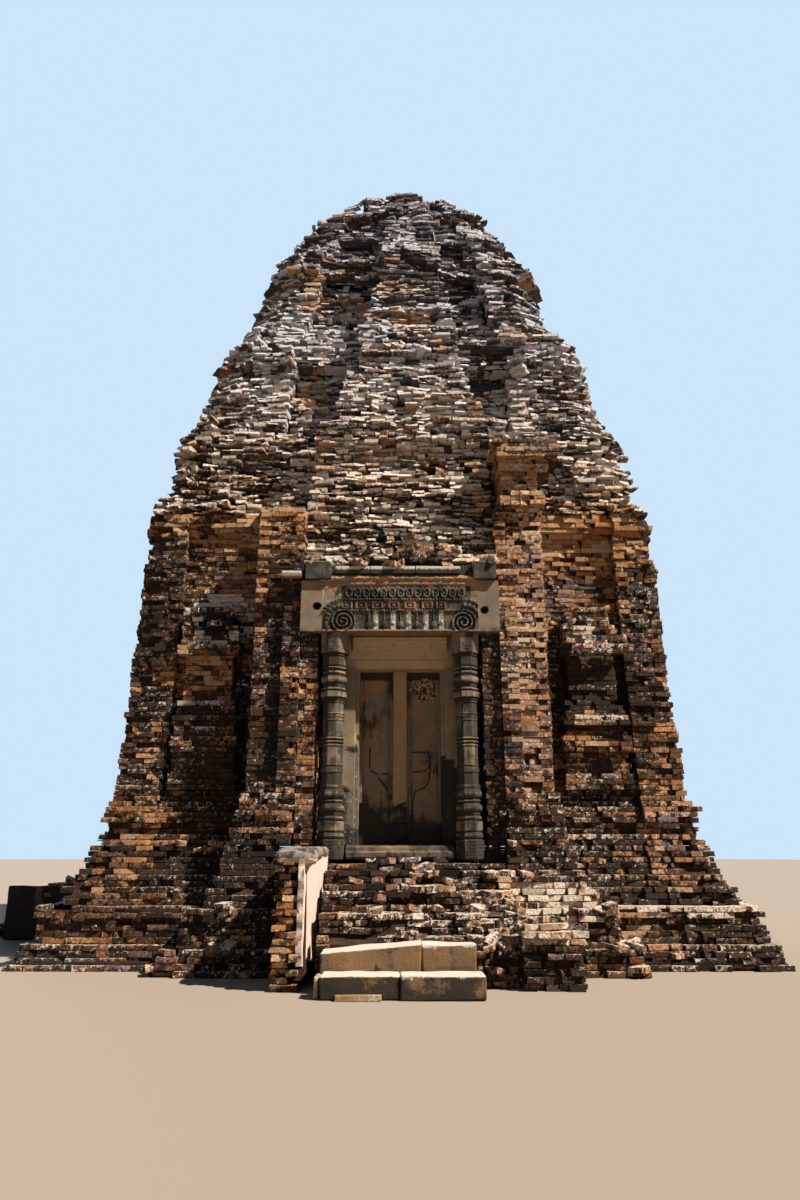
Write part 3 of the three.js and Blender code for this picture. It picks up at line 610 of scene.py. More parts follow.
# The zones take in the front, up to this place in Y, and reach past their sizes by this ratio.
FRONT_BACK, ZONE_REACH = -1.5, 1.5
# The superstructure bleaches and darkens with height, and is darker on its shaded side.
BLEACHING_LEVELS, CROWN_LEVELS, SHADED_SIDE = (5.5, 11.0), (10.5, 12.0), (-2.0, 0.0)
# The limits of a mark.
LEAST_MARK, MOST_MARK = -0.6, 1.0


def zoned(x, y, z):
    """How much more tone, patina, lichen and bleaching the zones of the front give a place."""
    added = [0.0, 0.0, 0.0, 0.0]
    if y > FRONT_BACK:
        return added
    ragged = 0.25 * drift(x, y, z, *RAGGED_EDGES)
    for middle, level, wide, high, *more in ZONES:
        away = math.hypot((x - middle) / wide, (z - level) / high)
        if away < ZONE_REACH:
            share = 1 - rise(away + ragged, 0.75, 1.15)
            added = [one + share * other for one, other in zip(added, more)]
    return added


def marks_at(kind, x, y, z, up, rng):
    """The tone, patina, lichen and bleaching of a brick."""
    warm = drift(x, y, z, *WARM) + 0.4 * drift(x, y, z, *WARM_SPOTS)
    stain = drift(x, y, z, *STAIN) + 0.5 * drift(x, y, z, *STAIN_SPOTS)
    tone = 0.47 + 0.40 * warm + rng.normal(0, 0.21)
    patina = 0.42 + 0.60 * stain + rng.normal(0, 0.17)
    lichen = 0.08 + 0.25 * drift(x, y, z, *LICHEN) + rng.normal(0, 0.05)
    bleach = 0.15 + 0.3 * drift(x, y, z, *BLEACH) + rng.normal(0, 0.08)
    if kind == "tier":
        streak, growth = drift(x, y, z, *STREAKS), drift(x, y, z, *GROWTH)
        crown, shaded = rise(z, *CROWN_LEVELS), rise(y, *SHADED_SIDE)
        tone += 0.45 - 0.20 * growth
        bleach += -0.16 + 0.46 * rise(z, *BLEACHING_LEVELS) + 0.60 * growth
        patina += -0.16 + 0.36 * crown + 0.10 * shaded - 0.70 * streak + rng.normal(0, 0.18)
        lichen += 0.06 + 0.65 * growth + 0.70 * streak
        lichen += rng.normal(0, 0.22) - 0.08 * crown - 0.24 * shaded
    else:
        tone += 0.05 + rng.normal(0, 0.07)
        bleach -= 0.10
        patina += 0.02 + 0.14 * stain + rng.normal(0, 0.09)
        lichen -= 0.20
    if kind == "plinth":
        tone -= 0.05
        patina += 0.12
    if kind == "ruin":
        patina += 0.05
        lichen -= 0.08
    # Bricks whose tops lie open get paler, partly pale growth and partly a painted highlight on their
    # tops.
    if up:
        lichen += 0.14
    marks = zip((tone, patina, lichen, bleach), zoned(x, y, z))
    return [min(max(mark + more, LEAST_MARK), MOST_MARK) for mark, more in marks]


def bonds(runs, solids):
    """For each end of each run, whether bricks of the next run round a convex corner show there."""
    laid = []
    for points, _ in runs:
        ends = []
        for near, far in ((points[0], points[1]), (points[-1], points[-2])):
            step = (far - near) / max(np.linalg.norm(far - near), TINY)
            ends.append(near + step * 0.1)
        forward = points[-1] - points[0]
        forward = forward / max(np.linalg.norm(forward), TINY)
        outside = np.array(ends) + np.array([forward[1], -forward[0]]) * JUST_OUTSIDE
        length = np.linalg.norm(np.diff(points, axis=0), axis=1).sum()
        laid.append((length > SHORTEST_BONDED_RUN) & ~inside(outside, solids))
    bonded = []
    for i, (_, convex) in enumerate(runs):
        after = (i + 1) % len(runs)
        bonded.append((convex and laid[i - 1][1], runs[after][1] and laid[after][0]))
    return bonded


def joints_along(first, last, share, rng):
    """Where the joints of one course fall, between two places along a run."""
    length = bpy.context.scene.brick_sizes.length * share
    joints = [first]
    place = first - length * rng.random() * 0.6
    while place < last:
        lengths = HEADER_LENGTHS if rng.random() < HEADERS else STRETCHER_LENGTHS
        place += length * rng.uniform(*lengths)
        if place > joints[-1] + SHORTEST_BRICK:
            joints.append(min(place, last))
    if len(joints) > 2 and last - joints[-2] < SHORTEST_BRICK:
        joints.pop(-2)
    joints[-1] = last
    return joints


# The coat on the side wall of the stair: how far it stands from the middle of the steps at its back
# end, its two ends in Y, how much further out it stands at its front, and how thick it is.
PLASTER_FACE, PLASTER_FRONT, PLASTER_BACK, PLASTER_SPLAY = -0.795, -5.48, -4.12, 0.115
PLASTER_THICKNESS = 0.055


def plaster_face(y):
    """Where the face of the plaster stands in X at a place along it."""
    return PLASTER_FACE - PLASTER_SPLAY * (PLASTER_BACK - y) / (PLASTER_BACK - PLASTER_FRONT)


def rows_shown(middle, inward, depth, hidden, above, own):
    """Which bricks show in the front row of a course, and in each row behind it open to the sky."""
    rows = [~hidden]
    while len(rows) < MOST_ROWS:
        centre = middle + inward * (depth * (len(rows) + 0.5))
        shows = inside(centre, own) & ~inside(centre, above) & ~hidden
        if not shows.any():
            break
        rows.append(shows)
    return rows


def lay_run(bricks, kind, points, bonded, course, cuts, deepest, rng, bare=math.inf):
    """Lay one course along a run of wall, and more rows behind it where it is open above.

    Cuts are the segments of every solid at this course, at the next one up, and of this solid. No
    brick is laid past bare in X.
    """
    here, above, own = cuts
    sizes, wear = bpy.context.scene.brick_sizes, WEAR[kind]
    z, odd = (course + 0.5) * COURSE, course % 2
    steps = np.linalg.norm(np.diff(points, axis=0), axis=1)
    distance = np.concatenate([[0], np.cumsum(steps)])
    first = sizes.depth if bonded[0] and odd else 0.0
    last = distance[-1] - (sizes.depth if bonded[1] and not odd else 0.0)
    if last - first < SHORTEST_BRICK:
        return
    joints = joints_along(first, last, wear.length, rng)
    ends = np.stack([np.interp(joints, distance, points[:, axis]) for axis in (0, 1)], axis=1)
    low, high = ends[:-1], ends[1:]
    middle, chord = (low + high) / 2, high - low
    reach = np.linalg.norm(chord, axis=1)
    chord = chord / np.maximum(reach, TINY)[:, None]
    inward = np.stack([-chord[:, 1], chord[:, 0]], axis=1)
    # A brick is hidden where the ground just outside it is solid all along.
    hidden = np.ones(len(middle), bool)
    for share in (0.1, 0.5, 0.9):
        hidden &= inside(low + share * (high - low) - inward * JUST_OUTSIDE, here)
    open_above = ~inside(middle + inward * JUST_INSIDE, above)
    for row, shows in enumerate(rows_shown(middle, inward, wear.depth, hidden, above, own)):
        for i in np.flatnonzero(shows):
            chance = rng.random()
            x, y = middle[i]
            if chance < wear.missing * (0.4 if row else 1) or x > bare:
                continue
            shift = wear_at(kind, x, y, z) + rng.normal(0, wear.single)
            if chance > STANDING_OUT:
                shift -= STANDS_OUT_BY * wear.single
            depth = wear.depth * rng.uniform(*DEPTH_SPREAD)
            centre = middle[i] + inward[i] * (min(shift, deepest) + depth / 2 + row * wear.depth)
            height = COURSE - sizes.joint * wear.open * rng.uniform(*JOINT_SPREAD)
            near = inward[i, 1] > 0.5 and z < NEAR_TOP
            shares = (SHAPES_NEAR if near else SHAPES_FAR)[kind]
            bricks.add(
                (*centre, z + rng.normal(0, LEVEL_SPREAD)),
                math.atan2(chord[i, 1], chord[i, 0]) + rng.normal(0, wear.turn),
                (reach[i] - sizes.joint, depth, height),
                rng.choice(len(shares), p=shares),
                (*rng.normal(0, min(wear.turn * 0.4, MOST_TILT), 2), wear.lean * rng.normal(0.4, 1.0)),
                marks_at(kind, x, y, z, open_above[i], rng),
            )


def dark_core(node, depth):
    """What shows between the bricks: the node's own mass, drawn in behind them."""
    deselect()
    core = linked(node + "_core", frame["nodes"][node].data.copy())
    core.select_set(True)
    bpy.context.view_layer.objects.active = core
    edit_all()
    bpy.ops.mesh.remove_doubles(threshold=MERGED)
    if node in SET_BACK:
        scale, move = SET_BACK[node]
        low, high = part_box(node)
        bpy.ops.transform.resize(value=scale, center_override=(low + high) / 2)
        bpy.ops.transform.translate(value=move)
    else:
        bpy.ops.transform.shrink_fatten(value=-depth)
    bpy.ops.object.mode_set(mode="OBJECT")
    core.data.materials.clear()
    return core


def course_cuts(nodes):
    """The segments in which the middle of each course cuts the solids of some nodes."""
    solids = np.concatenate([triangles_of(node) for node in nodes])
    return [level_cut(solids, (course + 0.5) * COURSE) for course in range(COURSES + 1)]


def lay_node(node, kind, core_depth, courses, shapes, materials):
    """The brickwork of one node, in one piece with the core behind it."""
    rng = np.random.default_rng(bpy.context.scene.brick_sizes.seed + sum(map(ord, node)))
    bricks = Bricks()
    low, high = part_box(node)
    triangles = triangles_of(node)
    bare = plaster_face(PLASTER_FRONT) - PLASTER_THICKNESS if node == COATED else math.inf
    for course in range(COURSES):
        z = (course + 0.5) * COURSE
        if not low.z < z < high.z:
            continue
        own = level_cut(triangles, z)
        cuts = (courses[course], courses[course + 1], own)
        for outline in chained(own):
            runs = straight_runs(outline)
            for (points, _), bonded in zip(runs, bonds(runs, courses[course])):
                lay_run(bricks, kind, points, bonded, course, cuts, core_depth * DEEPEST, rng, bare)
    piece = bricks.mesh(node + "_bricks", shapes, kind, rng)
    if node == COATED:
        for vertex in piece.data.vertices:
            vertex.co.x = min(vertex.co.x, plaster_face(vertex.co.y) - PLASTER_THICKNESS / 2)
    piece.data.materials.append(materials["brick"])
    core = dark_core(node, core_depth)
    core.data.materials.append(materials["core"])
    return finish_piece(joined([piece, core]), node + "_brickwork", nodes=[node])


# Shaping stone.

# How wide the hollows are that the weather leaves in a block.
BLOCK_WEAR = 0.22


def apply_modifier(piece, kind, **values):
    """Add a modifier with its values, and apply it."""
    deselect()
    piece.select_set(True)
    bpy.context.view_layer.objects.active = piece
    bpy.ops.object.modifier_add(type=kind)
    modifier = piece.modifiers[-1]
    for key, value in values.items():
        setattr(modifier, key, value)
    bpy.ops.object.modifier_apply(modifier=modifier.name)
    return piece


def bevelled(piece, width):
    """Round the edges of a piece off by a width."""
    return apply_modifier(piece, "BEVEL", width=width, segments=2, angle_limit=math.radians(35))


def joined(pieces):
    """Join some pieces into the first of them."""
    deselect()
    for piece in pieces:
        piece.select_set(True)
    bpy.context.view_layer.objects.active = pieces[0]
    if len(pieces) > 1:
        bpy.ops.object.join()
    return pieces[0]


def turned_copy(piece, degrees):
    """A copy with its own mesh, turned about the axis of the tower."""
    copy = linked(piece.name + "_copy", piece.data.copy())
    copy.data.transform(Matrix.Rotation(math.radians(degrees), 4, "Z"))
    return copy


def mirrored_copy(piece):
    """A copy with its own mesh, mirrored from right to left, with its faces still pointing out."""
    copy = linked(piece.name + "_copy", piece.data.copy())
    copy.data.transform(Matrix.Scale(-1, 4, (1, 0, 0)))
    copy.data.flip_normals()
    return copy


def worn(piece, reach, size, seed):
    """Move each point by a smooth noise, as the weather has."""
    noise.seed_set(bpy.context.scene.brick_sizes.seed)
    start = Vector((seed, 0, 0))
    for vertex in piece.data.vertices:
        vertex.co += noise.noise_vector(vertex.co / size + start) * reach
    return piece


def marked(piece, marks):
    """Store the tone, the dirt with any painted shade, the bloom with any painted highlight, and the rust
    of each point, from a function of its place.
    """
    values = np.array([marks(*vertex.co) for vertex in piece.data.vertices], np.float32)
    colours = piece.data.attributes.new("stone", "FLOAT_COLOR", "POINT")
    colours.data.foreach_set("color", np.clip(values, 0, 1).ravel())
    return piece


def moulding(outline, start, end, steps):
    """A closed outline in Y and Z, extruded along X in a number of steps."""
    deselect()
    bpy.ops.mesh.primitive_circle_add(vertices=len(outline), fill_type="NGON")
    piece = bpy.context.object
    for vertex, (y, z) in zip(piece.data.vertices, outline):
        vertex.co = (start, y, z)
    edit_all()
    stride = ((end - start) / steps, 0, 0)
    for _ in range(steps):
        bpy.ops.mesh.extrude_region_move(TRANSFORM_OT_translate={"value": stride})
    leave_closed()
    return piece


def upright(outline, low, high, steps):
    """A closed outline in X and Y, extruded upwards in a number of steps."""
    piece = moulding(outline, low, high, steps)
    for vertex in piece.data.vertices:
        z, x, y = vertex.co
        vertex.co = (x, y, z)
    return piece


def stone_block(low, high, cell, edge, reach, seed):
    """A block between two corners, with soft edges and a worn surface."""
    low, high = Vector(low), Vector(high)
    deselect()
    bpy.ops.mesh.primitive_cube_add(size=1, location=(low + high) / 2)
    piece = bpy.context.object
    piece.scale = high - low
    bpy.ops.object.transform_apply(location=True, rotation=True, scale=True)
    bevelled(piece, edge)
    bpy.ops.object.mode_set(mode="EDIT")
    for axis in range(3):
        count = int((high[axis] - low[axis]) / cell)
        normal = [float(axis == other) for other in range(3)]
        for step in range(1, count):
            place = list(low)
            place[axis] = low[axis] + (high[axis] - low[axis]) * step / count
            bpy.ops.mesh.select_all(action="SELECT")
            bpy.ops.mesh.bisect(plane_co=place, plane_no=normal)
    bpy.ops.object.mode_set(mode="OBJECT")
    return worn(piece, reach, BLOCK_WEAR, seed)


def carved_slab(sides, heights, cell, back, relief):
    """An upright slab whose face stands out, on a fine grid, as a carving does.

    Relief gives how far the face stands from the centre of the tower at a place.
    """
    (x0, x1), (z0, z1) = sides, heights
    deselect()
    bpy.ops.mesh.primitive_grid_add(
        x_subdivisions=round((x1 - x0) / cell), y_subdivisions=round((z1 - z0) / cell), size=1
    )
    piece = bpy.context.object
    for vertex in piece.data.vertices:
        x = x0 + (vertex.co.x + 0.5) * (x1 - x0)
        z = z0 + (vertex.co.y + 0.5) * (z1 - z0)
        vertex.co = (x, -relief(x, z), z)
    edit_all()
    bpy.ops.mesh.region_to_loop()
    bpy.ops.mesh.extrude_edges_move(TRANSFORM_OT_translate={"value": (0, 0.1, 0)})
    bpy.ops.mesh.edge_face_add()
    bpy.ops.object.mode_set(mode="OBJECT")
    for vertex in piece.data.vertices:
        if vertex.select:
            vertex.co.y = back
    return piece


def rise(value, low, high):
    """A smooth rise from 0 to 1 between two values."""
    share = min(max((value - low) / (high - low), 0.0), 1.0)
    return share * share * (3 - 2 * share)


def to_line(x, z, points):
    """The distance from a place to a broken line."""
    nearest = math.inf
    for (ax, az), (bx, bz) in zip(points, points[1:]):
        dx, dz = bx - ax, bz - az
        share = min(max(((x - ax) * dx + (z - az) * dz) / (dx * dx + dz * dz), 0.0), 1.0)
        nearest = min(nearest, math.hypot(x - ax - share * dx, z - az - share * dz))
    return nearest


# The carved lintel: plain ears with a socket in each, and a beaded arch that ends in two scrolls
# over a row of drops.

LINTEL_SIDES, LINTEL_HEIGHTS, LINTEL_BACK = (-1.22, 1.22), (3.78, 4.43), -3.5003
LINTEL_FACE = 4.08
EARS = (-0.95, 0.965)
SOCKETS = ((-1.02, 4.10), (1.04, 4.05))
SOCKET_RADIUS, SOCKET_OUT = 0.042, -0.14
# The levels between which the field is carved, and how far the margins over and under it stand out.
FIELD, MARGIN_OUT = (3.795, 4.375), 0.012
SCROLLS = ((-0.70, 3.905, 0.150), (0.775, 3.890, 0.145))
SCROLL_PITCH = 0.052
ARCH_LEVEL, ARCH_HALF, ARCH_TURN = 4.108, 0.060, 0.185
# The rows of beads along both edges of the arch: how far each is from its middle line.
BEAD_ROWS, BEAD_SPACING, BEAD_RADIUS, BEAD_HEIGHT = (-0.068, 0.072), 0.036, 0.017, 0.024
# The half width and half height of the tablets on the arch and of their bosses, and the middles.
TABLET, BOSS = (0.066, 0.046), (0.020, 0.018)
TABLETS = (-0.66, -0.48, -0.28, -0.08, 0.12, 0.33, 0.50)
# The row of oval loops over the arch.
LOOP_FIRST, LOOP_SPACING, LOOPS = -0.63, 0.1065, 14
LOOP_BAND, LOOP_LEVEL, LOOP = (4.195, 4.345), 4.268, (0.040, 0.060)
# The drops under the arch: where they hang, how far behind the field they start, and the foot,
# bulb, top, stem and relief of each kind.
DROPS_SIDES, DROPS_FOOT, DROPS_BEHIND = (-0.56, 0.62), 3.80, -0.055
LARGE_DROPS, LARGE_DROP = (-0.38, -0.19, 0.01, 0.21, 0.41), (3.845, 0.050, 4.045, 0.020, 0.075)
SMALL_DROPS, SMALL_DROP = (-0.29, -0.085, 0.11, 0.315, 0.51), (3.868, 0.030, 4.010, 0.014, 0.068)


def beads(along, spacing, across, radius):
    """The height of a row of beads, from 0 to 1."""
    offset = (along / spacing) % 1.0 - 0.5
    reach = math.hypot(offset * spacing, across) / radius
    return math.sqrt(max(1 - reach * reach, 0.0))


def drop(x, z, centre, foot, radius, top, stem):
    """The height of a hanging drop with a bulb at its foot, from 0 to 1."""
    if not foot - radius < z < top:
        return 0.0
    bulb = 1 - math.hypot(x - centre, (z - foot - radius * 0.3) * 0.8) / radius
    swell = stem * (1 + 0.35 * math.cos((z - foot) * 2 * math.pi / 0.042))
    string = 1 - abs(x - centre) / swell
    return min(max(bulb * 2.2, string * 1.1, 0.0), 1.0)


def scroll(x, z, centre, turn):
    """The height of a scroll, from 0 to 1, or -1 outside it."""
    cx, cz, reach = centre
    distance = math.hypot(x - cx, z - cz)
    if distance > reach:
        return -1.0
    angle = math.atan2(z - cz, x - cx) * turn / (2 * math.pi)
    return 0.5 + 0.5 * math.cos(2 * math.pi * (distance / SCROLL_PITCH - angle)) * rise(distance, 0, 0.03)


def arch(x, z):
    """The signed distance from the middle line of the arch and the distance along it."""
    for (middle, level, _), side in zip(SCROLLS, (-1, 1)):
        if side * x > side * middle:
            angle = math.atan2(z - level, side * (x - middle))
            return math.hypot(x - middle, z - level) - (ARCH_LEVEL - level), angle * ARCH_TURN
    return z - ARCH_LEVEL, x


def beyond_arch(x, across):
    """Whether a place is in a plain corner, outside the shoulders of the arch."""
    return across > 0.092 and not SCROLLS[0][0] - 0.03 < x < SCROLLS[1][0] + 0.10


def arch_relief(x, across, along):
    """The relief of the arch: tablets on its straight middle, and beads on its shoulders."""
    if not SCROLLS[0][0] < x < SCROLLS[1][0]:
        return 0.004 + 0.020 * beads(along, 0.052, across, 0.030)
    nearest, across = min(abs(x - tablet) for tablet in TABLETS), abs(across)
    if nearest >= TABLET[0] or across >= TABLET[1]:
        return 0.0
    if nearest < BOSS[0] and across < BOSS[1]:
        return 0.020
    return 0.022 if max(nearest / TABLET[0], across / TABLET[1]) > 0.62 else 0.006


def loop_relief(x, z):
    """The relief of the row of loops over the arch."""
    place = (x - LOOP_FIRST) / LOOP_SPACING
    if not LOOP_BAND[0] < z < LOOP_BAND[1] or not -0.5 < place < LOOPS - 0.5:
        return 0.0
    offset = (place - round(place)) * LOOP_SPACING
    oval = math.hypot(offset / LOOP[0], (z - LOOP_LEVEL) / LOOP[1])
    if 0.66 < oval < 1.12:
        return 0.022
    if oval < 0.34:
        return 0.014
    return 0.010 if abs(offset) > LOOP[0] and z > 4.30 else 0.0


def drop_relief(x, z):
    """The relief of the drops under the arch."""
    out = 0.0
    if z > DROPS_FOOT and DROPS_SIDES[0] < x < DROPS_SIDES[1]:
        for centres, (*shape, height) in ((LARGE_DROPS, LARGE_DROP), (SMALL_DROPS, SMALL_DROP)):
            for centre in centres:
                out = max(out, DROPS_BEHIND + height * drop(x, z, centre, *shape))
    return out


def lintel_carving(x, z):
    """How far the carving stands out from the ears, in metres."""
    for sx, sz in SOCKETS:
        if math.hypot(x - sx, z - sz) < SOCKET_RADIUS:
            return SOCKET_OUT
    if not EARS[0] < x < EARS[1]:
        return 0.004 * noise.noise(Vector((x, 0, z)) * 9)
    if not FIELD[0] <= z <= FIELD[1]:
        return MARGIN_OUT
    across, along = arch(x, z)
    if beyond_arch(x, across):
        return 0.0
    turns = max(scroll(x, z, centre, turn) for centre, turn in zip(SCROLLS, (-1, 1)))
    if turns >= 0:
        return -0.020 + 0.048 * turns
    out = loop_relief(x, z)
    if abs(across) < ARCH_HALF:
        out = max(out, arch_relief(x, across, along))
    if across < 0:
        out = max(out, drop_relief(x, z))
    rows = [beads(along, BEAD_SPACING, across - edge, BEAD_RADIUS) for edge in BEAD_ROWS]
    return max(out, BEAD_HEIGHT * max(rows))


def lintel_weathered(x, z):
    """The carving as it is left, with its top corner on the left worn smooth."""
    out = lintel_carving(x, z)
    if EARS[0] < x < EARS[1]:
        lost = rise(-x, 0.60, 0.74) * rise(z, 4.08, 4.20)
        grain = noise.fractal(Vector((x, 1.7, z)) * 16, 0.8, 2.1, 4)
        out = out * (1 - 0.9 * lost) - 0.010 * lost + 0.004 * grain
    return LINTEL_FACE + out


def lintel_marks(x, y, z):
    """Buff ears, a grey field that is dark in its hollows, and pale drops."""
    out = -y - LINTEL_FACE
    stain = drift(x, y, z, *RAGGED_EDGES)
    if not EARS[0] < x < EARS[1] or beyond_arch(x, arch(x, z)[0]):
        socket = min(math.hypot(x - sx, z - sz) for sx, sz in SOCKETS) < SOCKET_RADIUS * 1.25
        rust = rise(z, 4.20, 4.40) * 0.7 + 0.15 * stain
        return 0.34 + 0.2 * stain, 1.0 if socket else 0.20 + 0.25 * rise(-z, -3.9, -3.78), 0.10, rust
    dirt_and_shade = 0.46 + 0.60 * rise(-out, -0.012, 0.045) + 0.2 * stain
    bloom, rust = 0.10, 0.0
    if 3.80 < z < 4.04 and min(abs(x - centre) for centre in SMALL_DROPS) < 0.030 and out > -0.03:
        bloom, dirt_and_shade = 0.40, 0.20
    if scroll(x, z, SCROLLS[1], 1) > 0.6 or scroll(x, z, SCROLLS[0], -1) > 0.75:
        bloom = 0.36
    if abs(z - ARCH_LEVEL) < 0.07 and SCROLLS[0][0] < x < SCROLLS[1][0]:
        rust = 0.42
    if z > 4.36:
        rust, dirt_and_shade = 0.75, 0.25
    if z < 3.80:
        rust, dirt_and_shade = 0.45, 0.30
    return 0.22 + 0.25 * stain, dirt_and_shade, bloom, rust


def lintel(cell):
    """The lintel of a door, carved on a grid of cells."""
    slab = carved_slab(LINTEL_SIDES, LINTEL_HEIGHTS, cell, LINTEL_BACK, lintel_weathered)
    return marked(slab, lintel_marks)


# The moulded course on the lintel: the outline of its rough slope, how far that reaches to each
# side and the level under which it is clean. Then come its slabs and its square ends, each with
# its two ends in X and the seed of its wear, and the corners of each kind in Y and Z.
SLOPE_OUTLINE = (
    (-3.51, 4.431), (-4.085, 4.431), (-4.112, 4.455), (-4.100, 4.480), (-4.075, 4.500),
    (-4.030, 4.505), (-4.030, 4.640), (-3.960, 4.685), (-3.51, 4.690),
)
SLOPE_SIDE, SLOPE_TOP = 1.0, 4.502
SLABS = ((-0.80, -0.376, 5.0), (-0.366, 0.186, 6.0), (0.196, 0.745, 7.0))
SLAB_LOW, SLAB_HIGH = (-4.125, 4.508), (-3.95, 4.604)
SQUARE_ENDS = ((-1.175, -0.850, 8.0), (0.905, 1.195, 9.0))
END_LOW, END_HIGH = (-4.138, 4.436), (-3.51, 4.672)
# The two corners of the flat stone that caps the pilaster on the left of the door.
PILASTER_CAP = ((-1.465, -4.165, 4.455), (-1.22, -4.00, 4.530))


def slope_marks(x, y, z):
    """Rust on the clean slope, and darker over it."""
    return (0.7, 0.25, 0.1, 0.8) if z < SLOPE_TOP else (0.7, 0.85, 0.1, 0)


def cornice():
    """The moulded course on the lintel: a rough slope, three dark slabs and two square ends."""
    slope = moulding(SLOPE_OUTLINE, -SLOPE_SIDE, SLOPE_SIDE, 110)
    pieces = [marked(worn(slope, reach=0.016, size=0.035, seed=3.0), slope_marks)]
    for start, end, seed in SLABS:
        slab = stone_block((start, *SLAB_LOW), (end, *SLAB_HIGH), 0.06, 0.006, 0.006, seed)
        # Each slab is dark, partly patina and partly painted shade, with a painted highlight along its
        # top.
        pieces.append(marked(slab, lambda x, y, z: (0.25, 0.90, 0.62 if z > 4.590 else 0.0, 0)))
    for start, end, seed in SQUARE_ENDS:
        block = stone_block((start, *END_LOW), (end, *END_HIGH), 0.06, 0.010, 0.006, seed)
        pieces.append(marked(block, lambda x, y, z: (0.1, 0.52, 0.5 if z > 4.66 else 0.1, 0)))
    return joined(pieces)


def pilaster_cap():
    """The flat stone that caps the pilaster on the left of the door."""
    stone = stone_block(*PILASTER_CAP, cell=0.04, edge=0.010, reach=0.012, seed=15.0)
    return marked(stone, lambda x, y, z: (0.6, 0.30, 0.5 if z > 4.51 else 0.2, 0.1))


# The door: a frame, two blind leaves with a band between them, a sill and two colonettes.

FRAME_SIDE, FRAME_BACK, FRAME_FACE = 0.6997, -3.3503, -3.755
LEAVES_SIDES, LEAVES_HEIGHTS = (-0.4997, 0.4997), (1.2903, 3.3897)
LEAF_FACE = 3.48
PANEL = (0.145, 0.440)
PANEL_HEIGHTS = (1.44, 3.30)
LEFT_CRACK = (
    (-0.481, 1.774), (-0.327, 1.700), (-0.223, 1.567), (-0.172, 1.440), (-0.105, 1.389), (0.10, 1.37),
)
FRONT_CRACKS = (
    LEFT_CRACK,
    ((-0.379, 2.440), (-0.369, 2.172), (-0.261, 2.120), (-0.150, 2.130)),
    ((-0.261, 2.082), (-0.175, 1.968), (-0.140, 1.900)),
    ((0.150, 2.391), (0.344, 2.391), (0.380, 2.300), (0.377, 2.221), (0.355, 2.032), (0.300, 1.960)),
    ((0.300, 1.960), (0.183, 1.915), (0.150, 1.798), (0.156, 1.422)),
    ((0.160, 2.150), (0.300, 2.160), (0.377, 2.221)),
)
SIDE_CRACKS = (
    ((-0.44, 2.75), (-0.30, 2.62), (-0.16, 2.66)),
    ((0.15, 1.90), (0.28, 1.78), (0.34, 1.55), (0.47, 1.47)),
    ((0.44, 3.02), (0.33, 2.90), (0.30, 2.72), (0.15, 2.60)),
)
# The patch of the right leaf that is eaten away: its middle, its half width and its half height.
HONEYCOMB = (0.31, 3.16, 0.175, 0.155)


def in_honeycomb(x, z):
    """How much a place on the leaves is eaten away into a honeycomb, from 0 to 1."""
    cx, cz, wide, high = HONEYCOMB
    ragged = 0.25 * noise.noise(Vector((x, 2.0, z)) * 14)
    return rise(-math.hypot((x - cx) / wide, (z - cz) / high) + ragged, -1.05, -0.75)


def below_crack(x, z):
    """Whether a place is in the corner that has flaked off under the crack on the left."""
    across, heights = zip(*LEFT_CRACK)
    return x <= across[-1] and z < np.interp(x, across, heights)


def leaf_carving(x, z, front):
    """How far the face of the leaves stands out from their border, in metres."""
    across = abs(x)
    from_side = min(across - PANEL[0], PANEL[1] - across)
    from_end = min(z - PANEL_HEIGHTS[0], PANEL_HEIGHTS[1] - z)
    depth = min(from_side, from_end)
    out = -0.022 * rise(depth, -0.006, 0.006)
    if -0.034 < depth < -0.020:
        out = -0.009
    for line in FRONT_CRACKS if front else SIDE_CRACKS:
        out -= 0.012 * rise(-to_line(x, z, line), -0.010, -0.002)
    if front and below_crack(x, z):
        out = -0.030 + 0.006 * noise.noise(Vector((x, 5, z)) * 18)
    eaten = in_honeycomb(x, z) if front else 0.0
    if eaten:
        distances, _ = noise.voronoi(Vector((x, 3.0, z)) * 26)
        out += eaten * (0.008 - 0.036 * rise(distances[1] - distances[0], 0.12, 0.45))
    return out + 0.0025 * noise.fractal(Vector((x, 4.0, z)) * 12, 0.9, 2.1, 3)


def leaf_marks(front):
    """Marks of the leaves: rust towards the top, darker at the foot and in the hollows, and a painted
    shadow along the top, under the head.
    """

    def marks(x, y, z):
        out = -y - LEAF_FACE
        stain = drift(x, y, z, 71.0, 0.25, 0.5)
        # Darker at the foot; the last term is a painted shadow along the top of the leaves, under the
        # head.
        dirt_and_shade = 0.30 + 0.3 * stain + 0.50 * rise(-z, -1.62, -1.40) + 0.5 * rise(z, 3.27, 3.33)
        dirt_and_shade += 0.12 * rise(-z, -2.2, -1.6)
        dirt_and_shade += 0.5 * rise(-out, 0.026, 0.034)
        bloom = 0.0
        if front and in_honeycomb(x, z) > 0.3:
            dirt_and_shade, bloom = (0.0, 0.35) if out > -0.022 else (0.9, 0.0)
        if front and below_crack(x, z):
            dirt_and_shade = 0.85
        return 0.45 + 0.2 * stain, dirt_and_shade, bloom, 0.36 + 0.3 * stain + 0.35 * rise(z, 2.7, 3.3)

    return marks


def leaves(cell, front):
    """The two blind leaves of a door, carved on a grid of cells."""

    def face(x, z):
        return LEAF_FACE + leaf_carving(x, z, front)

    return marked(carved_slab(LEAVES_SIDES, LEAVES_HEIGHTS, cell, FRAME_BACK, face), leaf_marks(front))


BAND_OUTLINE = (
    (-0.086, -3.4803), (-0.086, -3.548), (-0.072, -3.562),
    (0.072, -3.562), (0.086, -3.548), (0.086, -3.4803),
)
# The foot of the band, and the level above which it is whole.
BAND_FOOT, BAND_BREAK = 1.62, 1.81
